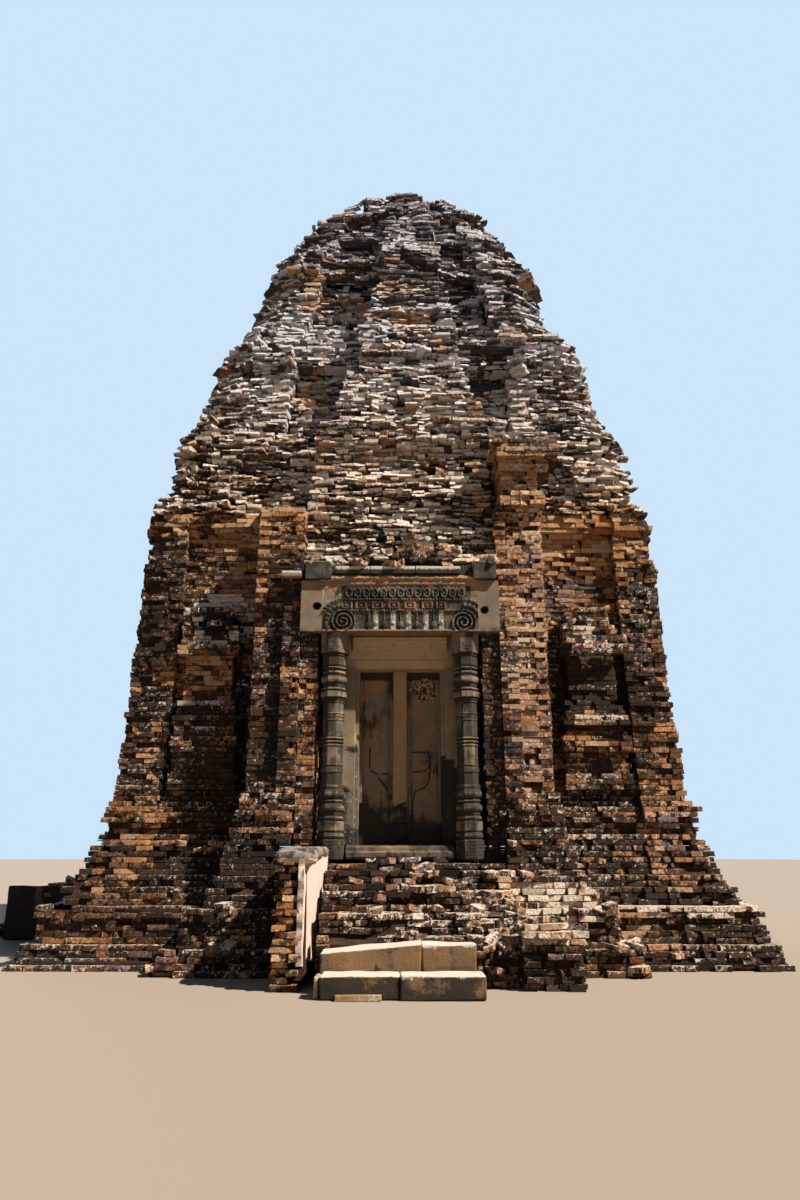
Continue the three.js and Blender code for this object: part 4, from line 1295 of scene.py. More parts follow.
# The two corners of each of the rough stones that are left of it under the break.
STUMP = ((-0.075, -3.520, 1.545), (0.062, -3.481, 1.715))
TOE = ((-0.085, -3.505, 1.36), (0.075, -3.481, 1.53))


def band():
    """The band over the meeting of the leaves, broken off above the sill in a hollow curve."""
    shaft = upright(BAND_OUTLINE, BAND_FOOT, LEAVES_HEIGHTS[1], 24)
    for vertex in shaft.data.vertices:
        if vertex.co.z < BAND_FOOT + 0.01:
            vertex.co.z = 1.735 + 6.0 * vertex.co.x**2 + 0.4 * vertex.co.x + 0.3 * (vertex.co.y + 3.562)
        elif vertex.co.z < BAND_BREAK:
            vertex.co.z = BAND_BREAK
    worn(bevelled(shaft, 0.004), reach=0.004, size=0.08, seed=2.0)
    marked(shaft, lambda x, y, z: (0.75, 0.16 + 0.2 * drift(x, y, z, 3.0, 0.2, 0.4), 0.1, 0.45))
    stump = stone_block(*STUMP, cell=0.03, edge=0.006, reach=0.010, seed=4.0)
    marked(stump, lambda x, y, z: (0.4, 0.55, 0, 0.2))
    toe = stone_block(*TOE, cell=0.03, edge=0.006, reach=0.012, seed=6.0)
    marked(toe, lambda x, y, z: (0.2, 0.90, 0, 0))
    return joined([shaft, stump, toe])


JAMB_OUTLINE = (
    (0.5, -3.690), (0.545, -3.690), (0.548, -3.750),
    (FRAME_SIDE, -3.750), (FRAME_SIDE, FRAME_BACK), (0.5, FRAME_BACK),
)
# The slanted break across each front jamb: its inner and its outer end in X and Z.
BREAKS = {-1: ((-0.537, 2.425), (-0.641, 2.094)), 1: ((0.517, 2.292), (0.652, 2.168))}
JAMB_FRONT = -3.6


def jamb(side):
    """A jamb with a rebate along its inner edge, on the right of a door, or mirrored to its left."""
    right = bevelled(upright(JAMB_OUTLINE, *LEAVES_HEIGHTS, 42), 0.004)
    if side > 0:
        return right
    left = mirrored_copy(right)
    bpy.data.objects.remove(right)
    return left


def front_jamb(side):
    """A jamb of the front door, darker below the slanted break across it."""
    piece = jamb(side)
    inner, outer = BREAKS[side]
    slope = (outer[1] - inner[1]) / (outer[0] - inner[0])

    def to_break(x, z):
        return z - inner[1] - slope * (x - inner[0])

    for vertex in piece.data.vertices:
        height = to_break(vertex.co.x, vertex.co.z)
        if vertex.co.y < JAMB_FRONT:
            vertex.co.y += 0.016 * rise(-height, -0.02, 0.03)
    worn(piece, reach=0.004, size=0.12, seed=11.0 + side)

    def marks(x, y, z):
        stain = drift(x, y, z, 81.0, 0.2, 0.5)
        height = to_break(x, z)
        if abs(height) < 0.03 and y < JAMB_FRONT:
            return 0.2, 0.95, 0, 0
        if height > 0:
            return 0.52 + 0.2 * stain, 0.22 + 0.2 * stain, 0.12, 0.12
        if side < 0:
            dark = 0.9 * rise(-z, -1.52, -1.42) + (0.6 if x < -0.665 else 0.0)
            return 0.1, 0.10 + dark, 0.30, 0
        return 0.3, 0.66 + 0.3 * stain, 0, 0

    return marked(piece, marks)


def plain_marks(tone, dirt_and_shade, bloom, rust, seed):
    """Marks that drift about their middle values."""

    def marks(x, y, z):
        stain = drift(x, y, z, seed, 0.3, 0.3)
        return tone + 0.25 * stain, dirt_and_shade + 0.35 * stain, bloom + 0.2 * stain, rust - 0.2 * stain

    return marks


HEAD_OUTLINE = (
    (FRAME_BACK, 3.392), (-3.690, 3.392), (-3.694, 3.500), (-3.748, 3.506), (-3.750, 3.612),
    (-3.772, 3.618), (-3.776, 3.640), (-3.790, 3.646), (-3.794, 3.668), (-3.806, 3.674),
    (-3.812, 3.700), (-3.836, 3.712), (-3.838, 3.765), (-3.800, 3.7797), (FRAME_BACK, 3.7797),
)
FILLETS = (3.612, 3.70)


def head():
    """The head of the frame, with three fillets under the lintel and a bowed lower edge."""
    piece = moulding(HEAD_OUTLINE, -FRAME_SIDE, FRAME_SIDE, 48)
    for vertex in piece.data.vertices:
        x, y, z = vertex.co
        if y < FRAME_FACE and abs(x) > 0.60:
            vertex.co.y = FRAME_FACE + 0.01
        if z < 3.40 and y < JAMB_FRONT:
            vertex.co.z += 0.010 * math.cos(x * 3.6) + 0.005 * noise.noise(Vector((x * 9, 0, 0)))
    worn(piece, reach=0.004, size=0.10, seed=21.0)

    def marks(x, y, z):
        stain = drift(x, y, z, 84.0, 0.3, 0.06)
        return 1.0, (0.28 if FILLETS[0] < z < FILLETS[1] else 0.0) + 0.1 * stain, 0.0, 0.10

    return marked(piece, marks)


SILL_OUTLINE = (
    (FRAME_BACK, 1.1303), (-3.955, 1.1303), (-3.985, 1.160), (-3.988, 1.205),
    (-3.960, 1.228), (-3.955, 1.262), (-3.930, 1.289), (FRAME_BACK, 1.289),
)
# How far the sill reaches to each side in front of the frame, between the colonettes.
SILL_SIDE = 0.615


def sill():
    """The sill, bowed a little along its top, with a worn nosing."""
    piece = moulding(SILL_OUTLINE, -FRAME_SIDE, FRAME_SIDE, 40)
    for vertex in piece.data.vertices:
        if vertex.co.y < FRAME_FACE:
            vertex.co.x = min(max(vertex.co.x, -SILL_SIDE), SILL_SIDE)
            vertex.co.z -= 0.010 * math.cos(vertex.co.x * 2.4) * rise(vertex.co.z, 1.2, 1.29)
    worn(piece, reach=0.007, size=0.09, seed=31.0)
    return marked(piece, plain_marks(tone=0.15, dirt_and_shade=0.48, bloom=0.06, rust=0.15, seed=91.0))


# The colonettes. Each member is flat or swells between two heights above the foot, to its radius.

FACETS, NECK, ARRIS = 8, 0.129, 0.004
COLONETTE_AXIS = (0.8, -3.9, 1.1303)
# How far a swelling member is drawn in at shares of its height.
SWELL = ((0, 0.020), (0.2, 0.006), (0.5, 0), (0.8, 0.006), (1, 0.020))
MEMBERS = (
    ("flat", 0.000, 0.212, 0.171),
    ("swell", 0.224, 0.296, 0.166),
    ("flat", 0.311, 0.420, 0.160),
    ("swell", 0.424, 0.482, 0.150),
    ("flat", 0.492, 0.512, 0.138),
    ("swell", 0.524, 0.608, 0.163),
    ("swell", 0.626, 0.669, 0.144),
    ("swell", 0.682, 0.776, 0.163),
    ("flat", 0.787, 0.826, 0.146),
    ("flat", 0.969, 1.026, 0.137),
    ("flat", 1.049, 1.062, 0.135),
    ("swell", 1.268, 1.300, 0.139),
    ("swell", 1.308, 1.342, 0.139),
    ("swell", 1.350, 1.384, 0.139),
    ("flat", 1.577, 1.587, 0.138),
    ("flat", 1.650, 1.662, 0.138),
    ("flat", 1.787, 1.812, 0.138),
    ("flat", 1.818, 1.842, 0.146),
    ("flat", 1.850, 1.919, 0.166),
    ("swell", 1.930, 1.972, 0.157),
    ("flat", 1.984, 2.010, 0.142),
    ("swell", 2.022, 2.116, 0.168),
    ("swell", 2.124, 2.182, 0.152),
    ("swell", 2.196, 2.228, 0.158),
    ("flat", 2.240, 2.345, 0.152),
    ("swell", 2.352, 2.384, 0.162),
    ("flat", 2.392, 2.648, 0.176),
)
# Rows of studs on each facet: first height, rows, distance between them, number across, and size.
STUDS = (
    (0.022, 6, 0.036, 4, 0.032),
    (0.330, 3, 0.032, 4, 0.028),
    (0.453, 1, 0.030, 5, 0.024),
    (0.806, 1, 0.030, 5, 0.022),
    (1.619, 1, 0.030, 3, 0.040),
    (2.412, 8, 0.030, 5, 0.027),
)


def colonette_outline():
    """The height and the radius of each turn of a colonette's outline, from its foot up."""
    points, last = [], 0.0
    for kind, low, high, radius in MEMBERS:
        if low - last > 0.02:
            points += [(last + ARRIS, NECK), (low - ARRIS, NECK)]
        if kind == "flat":
            points += [(low, radius - ARRIS), (low + 0.005, radius)]
            points += [(high - 0.005, radius), (high, radius - ARRIS)]
        else:
            points += [(low + share * (high - low), radius - drawn) for share, drawn in SWELL]
        last = high
    return points


def colonette_radius(height):
    """The radius of a colonette at a height above its foot."""
    return float(np.interp(height, *zip(*colonette_outline())))


def colonette():
    """The colonette on the right of a door, turned with eight sides and studded with carving."""
    cx, cy, foot = COLONETTE_AXIS
    outline = colonette_outline()
    height, radius = outline[0]
    deselect()
    place = {"location": (cx, cy, foot), "rotation": (0, 0, math.pi / FACETS)}
    bpy.ops.mesh.primitive_circle_add(vertices=FACETS, radius=radius, fill_type="NGON", **place)
    piece = bpy.context.object
    bpy.ops.object.transform_apply(location=True, rotation=True, scale=True)
    edit_all()
    for up, wide in outline[1:]:
        bpy.ops.mesh.extrude_region_move(TRANSFORM_OT_translate={"value": (0, 0, up - height)})
        ratio = wide / radius
        bpy.ops.transform.resize(value=(ratio, ratio, 1), center_override=(cx, cy, foot + up))
        height, radius = up, wide
    leave_closed()
    worn(joined([piece, carved_studs()]), reach=0.004, size=0.06, seed=41.0)

    def marks(x, y, z):
        up = z - foot
        ledge = radius_drop(up)
        stain = drift(x, y, z, 95.0, 0.15, 0.3)
        dirt_and_shade = 0.42 + 0.45 * ledge + 0.35 * stain + 0.25 * rise(-up, -0.35, -0.1)
        warm = 0.10 if y < cy else 0.0
        return 0.38 + 0.2 * stain, dirt_and_shade, 0.12 - 0.1 * ledge, warm

    return marked(piece, marks)


def radius_drop(up):
    """How deep between the rings of a colonette a height lies, from 0 to 1."""
    here = colonette_radius(up)
    around = max(colonette_radius(up - 0.03), colonette_radius(up + 0.03))
    return min(max((around - here) / 0.02, 0.0), 1.0)


def carved_studs():
    """The carved bands of a colonette: small pointed leaves set out over its facets."""
    deselect()
    bpy.ops.mesh.primitive_cone_add(vertices=6, radius1=0.5, depth=0.5, location=(0, 0, 0.1))
    leaf = bpy.context.object
    bpy.ops.object.transform_apply(location=True)
    corners = np.array([vertex.co for vertex in leaf.data.vertices])
    sides = [list(face.vertices) for face in leaf.data.polygons]
    bpy.data.objects.remove(leaf)
    cx, cy, foot = COLONETTE_AXIS
    points, faces = [], []
    for facet in range(FACETS):
        angle = facet * 2 * math.pi / FACETS
        outward = np.array([math.cos(angle), math.sin(angle), 0])
        tangent = np.array([-math.sin(angle), math.cos(angle), 0])
        for first, rows, spacing, across, size in STUDS:
            for row in range(rows):
                up = first + row * spacing
                radius = colonette_radius(up)
                half = radius * math.sin(math.pi / FACETS)
                for place in range(across - row % 2):
                    along = ((place + 0.5 + 0.5 * (row % 2)) / across * 2 - 1) * half * 0.94
                    middle = np.array([cx, cy, foot + up]) + tangent * along
                    middle = middle + outward * (radius * math.cos(math.pi / FACETS) - 0.002)
                    faces += [[corner + len(points) for corner in side] for side in sides]
                    for x, y, z in corners * size:
                        points.append(middle + tangent * x + np.array([0, 0, y * 1.15]) + outward * z)
    mesh = bpy.data.meshes.new("studs")
    mesh.from_pydata([tuple(point) for point in points], [], faces)
    return linked("studs", mesh)


# The treads of the stair, and the plaster on its side wall.

# Each tread stone: its two corners, how far its left end is lifted, how far its face leans, the seed
# of its wear and how dirty it is.
UPPER_TREADS = (
    ((-0.735, -5.630, 0.06), (0.180, -5.305, 0.425), 0.075, 0.03, 51.0, 0.12),
    ((0.200, -5.610, 0.06), (0.700, -5.310, 0.420), 0.010, -0.02, 52.0, 0.20),
)
LOWER_TREADS = (
    ((-0.700, -5.905, 0.0), (-0.006, -5.650, 0.200), 0.0, 0.02, 55.0, 0.42),
    ((0.006, -5.935, 0.0), (0.745, -5.650, 0.203), 0.0, -0.01, 56.0, 0.34),
)
# The rough stones with them: two corners, cell, edge, reach and seed of the wear, and the middle
# values of their marks.
UPPER_BED = (
    ((-0.70, -5.58, 0.0), (0.66, -5.31, 0.09), 0.09, 0.010, 0.010, 53.0),
    (0.6, 0.5, 0.2, 0.3, 54.0),
)
LOWER_END = (
    ((-0.750, -5.860, 0.0), (-0.712, -5.660, 0.185), 0.05, 0.010, 0.014, 57.0),
    (0.7, 0.25, 0.4, 0.3, 58.0),
)
LOWER_SLAB = (
    ((-0.560, -5.958, 0.0), (-0.160, -5.912, 0.052), 0.05, 0.006, 0.006, 59.0),
    (0.8, 0.30, 0.3, 0.4, 60.0),
)


def tread_stone(low, high, lift, lean, seed, dirt_and_shade):
    """A tread stone with a lifted end and a leaning face."""
    stone = stone_block(low, high, cell=0.055, edge=0.016, reach=0.014, seed=seed)

    def lifted(x):
        return lift * ((x - low[0]) / (high[0] - low[0]) - 1)

    for vertex in stone.data.vertices:
        x, y, z = vertex.co
        if z > (low[2] + high[2]) / 2:
            vertex.co.z += lifted(x)
        vertex.co.x += lean * (z - low[2])

    def marks(x, y, z):
        stain = drift(x, y, z, seed + 5, 0.22, 0.2)
        # The foot of each stone is darker, partly dirt and partly painted shade, and its top face and top
        # edge are paler, worn stone with a painted highlight.
        return (
            0.24 + 0.30 * drift(x, y, z, seed, 0.25, 0.25),
            dirt_and_shade + 0.16 + 0.50 * stain + 0.30 * rise(-z, -low[2] - 0.14, -low[2]),
            0.9 * rise(z - lifted(x), high[2] - 0.02, high[2] - 0.004),
            0.30,
        )

    return marked(stone, marks)


def rough_stone(block, marks):
    """A rough stone with marks that drift about their middle values."""
    return marked(stone_block(*block), plain_marks(*marks))


def treads(stones, rough):
    """The stones of one tread, in one piece."""
    return joined([tread_stone(*stone) for stone in stones] + [rough_stone(*stone) for stone in rough])


# The levels between which the coat of plaster lies, and over which it is crusted.
COAT_FOOT, STAIR_WALL_TOP, CRUSTED = 0.16, 1.245, 1.16
# The two corners of the cap on that wall, and of the coat on the side wall of the left stair.
COAT_CAP = ((-1.185, -5.475, 1.165), (-0.800, -4.13, 1.262))
SIDE_COAT = ((-5.66, -1.222, 0.02), (-4.16, -1.170, 0.735))


def plaster_sheet():
    """The thick coat of plaster on the inner face and along the top of the stair's side wall."""
    deselect()
    bpy.ops.mesh.primitive_grid_add(x_subdivisions=66, y_subdivisions=48, size=1)
    sheet = bpy.context.object
    for vertex in sheet.data.vertices:
        y = PLASTER_FRONT + (vertex.co.x + 0.5) * (PLASTER_BACK - PLASTER_FRONT)
        z = COAT_FOOT + (vertex.co.y + 0.5) * (STAIR_WALL_TOP - COAT_FOOT)
        z -= 0.06 * rise(-y, 5.30, 5.47) + 0.05 * rise(y, -4.5, -4.1)
        vertex.co = (plaster_face(y), y, z)
    bpy.ops.object.mode_set(mode="EDIT")
    mesh = bmesh.from_edit_mesh(sheet.data)
    for face in mesh.faces:
        _, y, z = face.calc_center_median()
        ragged = 0.05 * noise.fractal(Vector((0, y, z)) * 9, 0.8, 2.1, 4)
        lost = y + ragged > PLASTER_BACK - 0.10 + 0.25 * (z - 1.0) or z + ragged < COAT_FOOT + 0.06
        face.select_set(lost)
    bmesh.update_edit_mesh(sheet.data)
    bpy.ops.mesh.delete(type="FACE")
    bpy.ops.mesh.select_all(action="SELECT")
    bpy.ops.mesh.extrude_region_move(TRANSFORM_OT_translate={"value": (-PLASTER_THICKNESS, 0, 0)})
    leave_closed()
    for vertex in sheet.data.vertices:
        if vertex.co.y < PLASTER_FRONT + 0.06:
            vertex.co.y += 0.03 * noise.noise(vertex.co * 14)
    return worn(sheet, reach=0.010, size=0.20, seed=61.0)


def plaster_cap():
    """The crusted rounded top of the stair's side wall."""
    cap = stone_block(*COAT_CAP, cell=0.045, edge=0.035, reach=0.020, seed=62.0)
    for vertex in cap.data.vertices:
        vertex.co.z -= 0.05 * rise(-vertex.co.y, 5.25, 5.47)
    return worn(cap, reach=0.012, size=0.05, seed=63.0)


def plaster_marks(x, y, z):
    """Pink on the inner face, and crusted on the front edge and on top."""
    stain = drift(x, y, z, 64.0, 0.10, 0.12)
    if z > CRUSTED:
        return 0.45 + 0.3 * stain, 0.30 + 0.5 * stain, 0.12 - 0.3 * stain, 0.1
    if x < plaster_face(y) - 0.6 * PLASTER_THICKNESS or y < PLASTER_FRONT + 0.02:
        return 0.75 + 0.3 * stain, 0.28 + 0.4 * stain, 0.2, 0.1
    return 1.0, 0.10 * rise(-z, -0.5, -0.2), 0.20 + 0.3 * stain, 0.0


def side_marks(x, y, z):
    """Dark, with a clean slanting streak down the middle and a pale top edge."""
    streak = rise(-abs(x + 5.18 + 0.12 * (z - 0.3)), -0.09, -0.03)
    return 0.1, 0.85 - 0.75 * streak * rise(z, 0.25, 0.45), 0.2 * rise(z, 0.66, 0.72), 0.1


def side_plaster():
    """The dark coat of plaster on the side wall of the stair on the left."""
    coat = stone_block(*SIDE_COAT, cell=0.07, edge=0.012, reach=0.014, seed=65.0)
    return marked(coat, side_marks)


# Loose bricks, which lie where they fell.

# The middle and the half sizes in X and Y of each heap, how many bricks lie there, and the height
# from which they fall.
HEAPS = (
    (1.35, -4.75, 0.60, 0.55, 120, 2.5),
    (2.30, -4.55, 0.50, 0.40, 36, 2.5),
    (0.95, -5.30, 0.25, 0.40, 26, 2.0),
    (0.00, -4.75, 0.65, 0.45, 34, 1.8),
    (-1.60, -4.70, 0.40, 0.35, 26, 2.5),
    (-3.20, -4.55, 0.90, 0.35, 22, 2.5),
    (3.60, -4.45, 0.90, 0.35, 30, 2.5),
    (0.15, -4.00, 0.95, 0.20, 60, 7.0),
    (2.60, -3.55, 0.80, 0.20, 24, 7.5),
    (-2.40, -3.55, 0.90, 0.20, 24, 7.5),
    (4.60, 1.60, 0.50, 0.60, 40, 2.5),
    (4.60, -1.50, 0.50, 0.50, 24, 2.5),
    (0.00, 4.80, 1.30, 0.50, 30, 2.5),
    (-4.60, -1.60, 0.40, 0.60, 20, 2.5),
)
# How far in from the edge of the tower a loose brick falls at least, the steepest slope on which it
# stays, and the ranges of its length and depth beside a whole brick and of its height in courses.
EDGE_CLEAR, STEEPEST = 0.20, 0.5
LOOSE_LENGTHS, LOOSE_DEPTHS, LOOSE_HEIGHTS = (0.25, 0.8), (0.6, 1.0), (0.8, 1.0)
# The ranges of the tone, patina, lichen and bleaching of loose bricks.
LOOSE_MARKS = ((0.30, 0.85), (0.1, 0.55), (0.0, 0.28), (0.0, 0.3))


def fallen_bricks(shapes, rng):
    """Bricks that lie on whatever is under them, turned at random, in the heaps."""
    bricks = Bricks()
    sizes = bpy.context.scene.brick_sizes
    (x0, y0, _), (x1, y1, _) = CAD_BOX
    seen = bpy.context.evaluated_depsgraph_get()
    for x, y, wide, deep, count, height in HEAPS:
        for _ in range(count):
            place = [x + wide * rng.normal(0, 0.5), y + deep * rng.normal(0, 0.5)]
            place[0] = min(max(place[0], x0 + EDGE_CLEAR), x1 - EDGE_CLEAR)
            place[1] = min(max(place[1], y0 + EDGE_CLEAR), y1 - EDGE_CLEAR)
            hit, point, normal, *_ = bpy.context.scene.ray_cast(seen, (*place, height), (0, 0, -1))
            length = sizes.length * rng.uniform(*LOOSE_LENGTHS)
            if not hit or normal.z < STEEPEST:
                continue
            bricks.add(
                (point.x, point.y, point.z + COURSE * 0.42),
                rng.uniform(-math.pi, math.pi),
                (length, sizes.depth * rng.uniform(*LOOSE_DEPTHS), COURSE * rng.uniform(*LOOSE_HEIGHTS)),
                rng.choice((2, 3)),
                (*rng.normal(0, 0.16, 2), rng.normal(0, 0.2)),
                [rng.uniform(*limits) for limits in LOOSE_MARKS],
            )
    return bricks.mesh("loose_bricks", shapes, "ruin", rng)


# Materials.


def new_group(name, inputs, outputs):
    """A shader group with the named sockets, and what its input node gives and its output takes."""
    group = bpy.data.node_groups.new(name, "ShaderNodeTree")
    for label, kind, default in inputs:
        socket = group.interface.new_socket(name=label, in_out="INPUT", socket_type=kind)
        if default is not None:
            socket.default_value = default
    for label, kind in outputs:
        group.interface.new_socket(name=label, in_out="OUTPUT", socket_type=kind)
    given = group.nodes.new("NodeGroupInput").outputs
    taken = group.nodes.new("NodeGroupOutput").inputs
    return group, given, taken


class Tree:
    """Short ways to add and join the nodes of a material or a group."""

    def __init__(self, tree):
        self.tree = tree

    def node(self, kind, **values):
        """A new node with its settings."""
        made = self.tree.nodes.new(kind)
        for key, value in values.items():
            setattr(made, key, value)
        return made

    def join(self, source, target):
        self.tree.links.new(source, target)
        return target

    def feed(self, socket, value):
        """Link an output to a socket, or set the socket to a plain value."""
        if isinstance(value, bpy.types.NodeSocket):
            self.join(value, socket)
        elif value is not None:
            socket.default_value = value

    def math(self, kind, a, b=None, c=None, clamp=False):
        made = self.node("ShaderNodeMath", operation=kind, use_clamp=clamp)
        for socket, value in zip(made.inputs, (a, b, c)):
            self.feed(socket, value)
        return made.outputs[0]

    def mix(self, share, a, b, kind="MIX"):
        """Colour a, with colour b over it by a share."""
        made = self.node("ShaderNodeMix", data_type="RGBA", blend_type=kind)
        self.feed(made.inputs[0], share)
        self.feed(made.inputs[6], a if isinstance(a, bpy.types.NodeSocket) else (*a, 1))
        self.feed(made.inputs[7], b if isinstance(b, bpy.types.NodeSocket) else (*b, 1))
        return made.outputs[2]

    def noise(self, place, scale, detail=3.0, rough=0.6, stretch=None):
        """A noise from 0 to 1, with its scale stretched along each axis if that is asked."""
        if stretch:
            moved = self.node("ShaderNodeMapping")
            moved.inputs["Scale"].default_value = stretch
            self.join(place, moved.inputs["Vector"])
            place = moved.outputs[0]
        made = self.node("ShaderNodeTexNoise")
        self.join(place, made.inputs["Vector"])
        self.feed(made.inputs["Scale"], scale)
        made.inputs["Detail"].default_value = detail
        made.inputs["Roughness"].default_value = rough
        return made.outputs["Fac"]

    def step(self, value, low, high, to_low=0.0, to_high=1.0):
        """A smooth rise between two values."""
        made = self.node("ShaderNodeMapRange", interpolation_type="SMOOTHSTEP")
        for socket, number in zip(made.inputs, (value, low, high, to_low, to_high)):
            self.feed(socket, number)
        return made.outputs[0]

    def ramp(self, value, stops):
        """A colour that runs through the stops, each a place and a colour."""
        made = self.node("ShaderNodeValToRGB")
        spots = made.color_ramp.elements
        while len(spots) < len(stops):
            spots.new(0.5)
        for spot, (place, colour) in zip(spots, stops):
            spot.position = place
            spot.color = (*colour, 1)
        self.feed(made.inputs[0], value)
        return made.outputs[0]


def grit_group():
    """Fine and coarse roughness of a weathered surface, as a height."""
    scales = [("Fine scale", "NodeSocketFloat", 90.0), ("Coarse scale", "NodeSocketFloat", 14.0)]
    group, inputs, outputs = new_group(
        "weathered_grit",
        [("Position", "NodeSocketVector", None), *scales],
        [("Height", "NodeSocketFloat")],
    )
    tree = Tree(group)
    fine = tree.noise(inputs["Position"], inputs["Fine scale"], detail=4.0, rough=0.7)
    coarse = tree.noise(inputs["Position"], inputs["Coarse scale"], detail=5.0, rough=0.65)
    pits = tree.step(fine, low=0.30, high=0.52)
    tree.join(tree.math("ADD", tree.math("MULTIPLY", pits, 0.4), coarse), outputs["Height"])
    return group


def growth_group():
    """Dark patina and pale lichen over a colour, each by its own amount."""
    colours = ("Colour", "Patina colour", "Lichen colour")
    amounts = (("Patina", 0.4), ("Lichen", 0.2))
    scales = (("Patina scale", 6.0), ("Lichen scale", 24.0), ("Contrast", 1.5))
    group, inputs, outputs = new_group(
        "patina_and_lichen",
        [
            ("Position", "NodeSocketVector", None),
            *((label, "NodeSocketColor", None) for label in colours),
            *((label, "NodeSocketFloat", value) for label, value in amounts + scales),
        ],
        [("Colour", "NodeSocketColor")],
    )
    tree = Tree(group)

    def grown(kind, colour, over, detail, high, most):
        place = tree.noise(inputs["Position"], inputs[kind + " scale"], detail, rough=0.80)
        spread = tree.math("SUBTRACT", place, 0.5)
        amount = tree.math("MULTIPLY_ADD", spread, inputs["Contrast"], inputs[kind])
        share = tree.math("MULTIPLY", tree.step(amount, 0.32, high), most)
        return tree.mix(share, over, inputs[colour])

    stained = grown("Patina", "Patina colour", inputs["Colour"], detail=7.0, high=0.60, most=0.92)
    pale = grown("Lichen", "Lichen colour", stained, detail=5.0, high=0.50, most=0.9)
    tree.join(pale, outputs["Colour"])
    return group


def new_material(name, roughness):
    """A material with its tree, its shader and the place of each point."""
    material = bpy.data.materials.new(name)
    material.use_nodes = True
    tree = Tree(material.node_tree)
    shader = material.node_tree.nodes["Principled BSDF"]
    shader.inputs["Roughness"].default_value = roughness
    shader.inputs["Specular IOR Level"].default_value = 0.2
    place = tree.node("ShaderNodeTexCoord").outputs["Object"]
    return material, tree, shader, place


def rough_surface(tree, shader, place, fine, coarse, distance):
    """Bump a surface with fine and coarse grit."""
    grit = shared(bpy.data.node_groups, "weathered_grit", grit_group)
    height = tree.node("ShaderNodeGroup", node_tree=grit)
    tree.join(place, height.inputs["Position"])
    height.inputs["Fine scale"].default_value = fine
    height.inputs["Coarse scale"].default_value = coarse
    bump = tree.node("ShaderNodeBump")
    bump.inputs["Strength"].default_value = 1.0
    bump.inputs["Distance"].default_value = distance
    tree.join(height.outputs[0], bump.inputs["Height"])
    tree.join(bump.outputs[0], shader.inputs["Normal"])


def grown_over(tree, place, **sockets):
    """Growth over a colour. The sockets are those of its group, with low lines for spaces."""
    growth = shared(bpy.data.node_groups, "patina_and_lichen", growth_group)
    made = tree.node("ShaderNodeGroup", node_tree=growth)
    tree.join(place, made.inputs["Position"])
    for name, value in sockets.items():
        tree.feed(made.inputs[name.capitalize().replace("_", " ")], value)
    return made.outputs[0]


def shared(kind, name, make):
    """The material or group of this name, made the first time it is asked for."""
    return kind.get(name) or make()


def read_marks(tree, attribute):
    """The four marks of each point, from its attribute."""
    marks = tree.node("ShaderNodeAttribute", attribute_name=attribute)
    parts = tree.node("ShaderNodeSeparateColor")
    tree.join(marks.outputs["Color"], parts.inputs[0])
    return (*parts.outputs, marks.outputs["Alpha"])


def mottled(tree, tone, place, scale, detail, reach):
    """A tone from 0 to 1, mottled by its reach to both sides."""
    mottle = tree.noise(place, scale, detail, rough=0.65)
    return tree.math("ADD", tone, tree.math("MULTIPLY_ADD", mottle, 2 * reach, -reach), clamp=True)


def level_of(tree, vector):
    """The Z of a place or a normal."""
    parts = tree.node("ShaderNodeSeparateXYZ")
    tree.join(vector, parts.inputs[0])
    return parts.outputs[2]


def stone_material(name, tones, bump, contrast):
    """Weathered stone of three tones, with rust, patina and bloom over them by each point's marks, the
    patina and bloom also holding painted shade and painted highlights.
    """
    material, tree, shader, place = new_material(name, 0.88)
    colours = bpy.context.scene.stone_colours
    # The second and third marks hold dirt and bloom, and on some stones painted shade and painted
    # highlights too.
    tone, dirt_and_shade, bloom, rusted = read_marks(tree, "stone")
    tone = mottled(tree, tone, place, scale=7.0, detail=6.0, reach=0.35)
    colour = tree.ramp(tone, list(zip((0.0, 0.55, 1.0), tones)))
    blotch = tree.noise(place, scale=3.2, detail=5.0, rough=0.7)
    rust = tree.math("MULTIPLY", rusted, tree.step(blotch, low=0.35, high=0.62))
    colour = tree.mix(rust, colour, colours.rust)
    runs = tree.noise(place, scale=16.0, stretch=(1.0, 1.0, 0.08))
    streaks = tree.step(runs, low=0.50, high=0.72, to_high=0.16)
    colour = grown_over(
        tree,
        place,
        colour=colour,
        patina_colour=(*colours.soot, 1),
        lichen_colour=(*colours.bloom, 1),
        patina=tree.math("ADD", dirt_and_shade, streaks),
        lichen=bloom,
        contrast=contrast,
    )
    tree.join(colour, shader.inputs["Base Color"])
    rough_surface(tree, shader, place, fine=150.0, coarse=45.0, distance=bump)
    return material


def sandstone_material():
    """The carved stone of the doors."""
    colours = bpy.context.scene.stone_colours
    tones = (colours.grey, colours.buff, colours.tan)
    return stone_material("carved_sandstone", tones, bump=0.006, contrast=0.8)


def tread_material():
    """The trodden stone of the stair."""
    colours = bpy.context.scene.stone_colours
    tones = (colours.grey, colours.tread, colours.tan)
    return stone_material("tread_stone", tones, bump=0.009, contrast=1.4)


def plaster_material():
    """The coat on the side walls of the stairs."""
    colours = bpy.context.scene.stone_colours
    tones = (colours.soot, colours.crust, colours.plaster)
    return stone_material("lime_plaster", tones, bump=0.010, contrast=1.4)


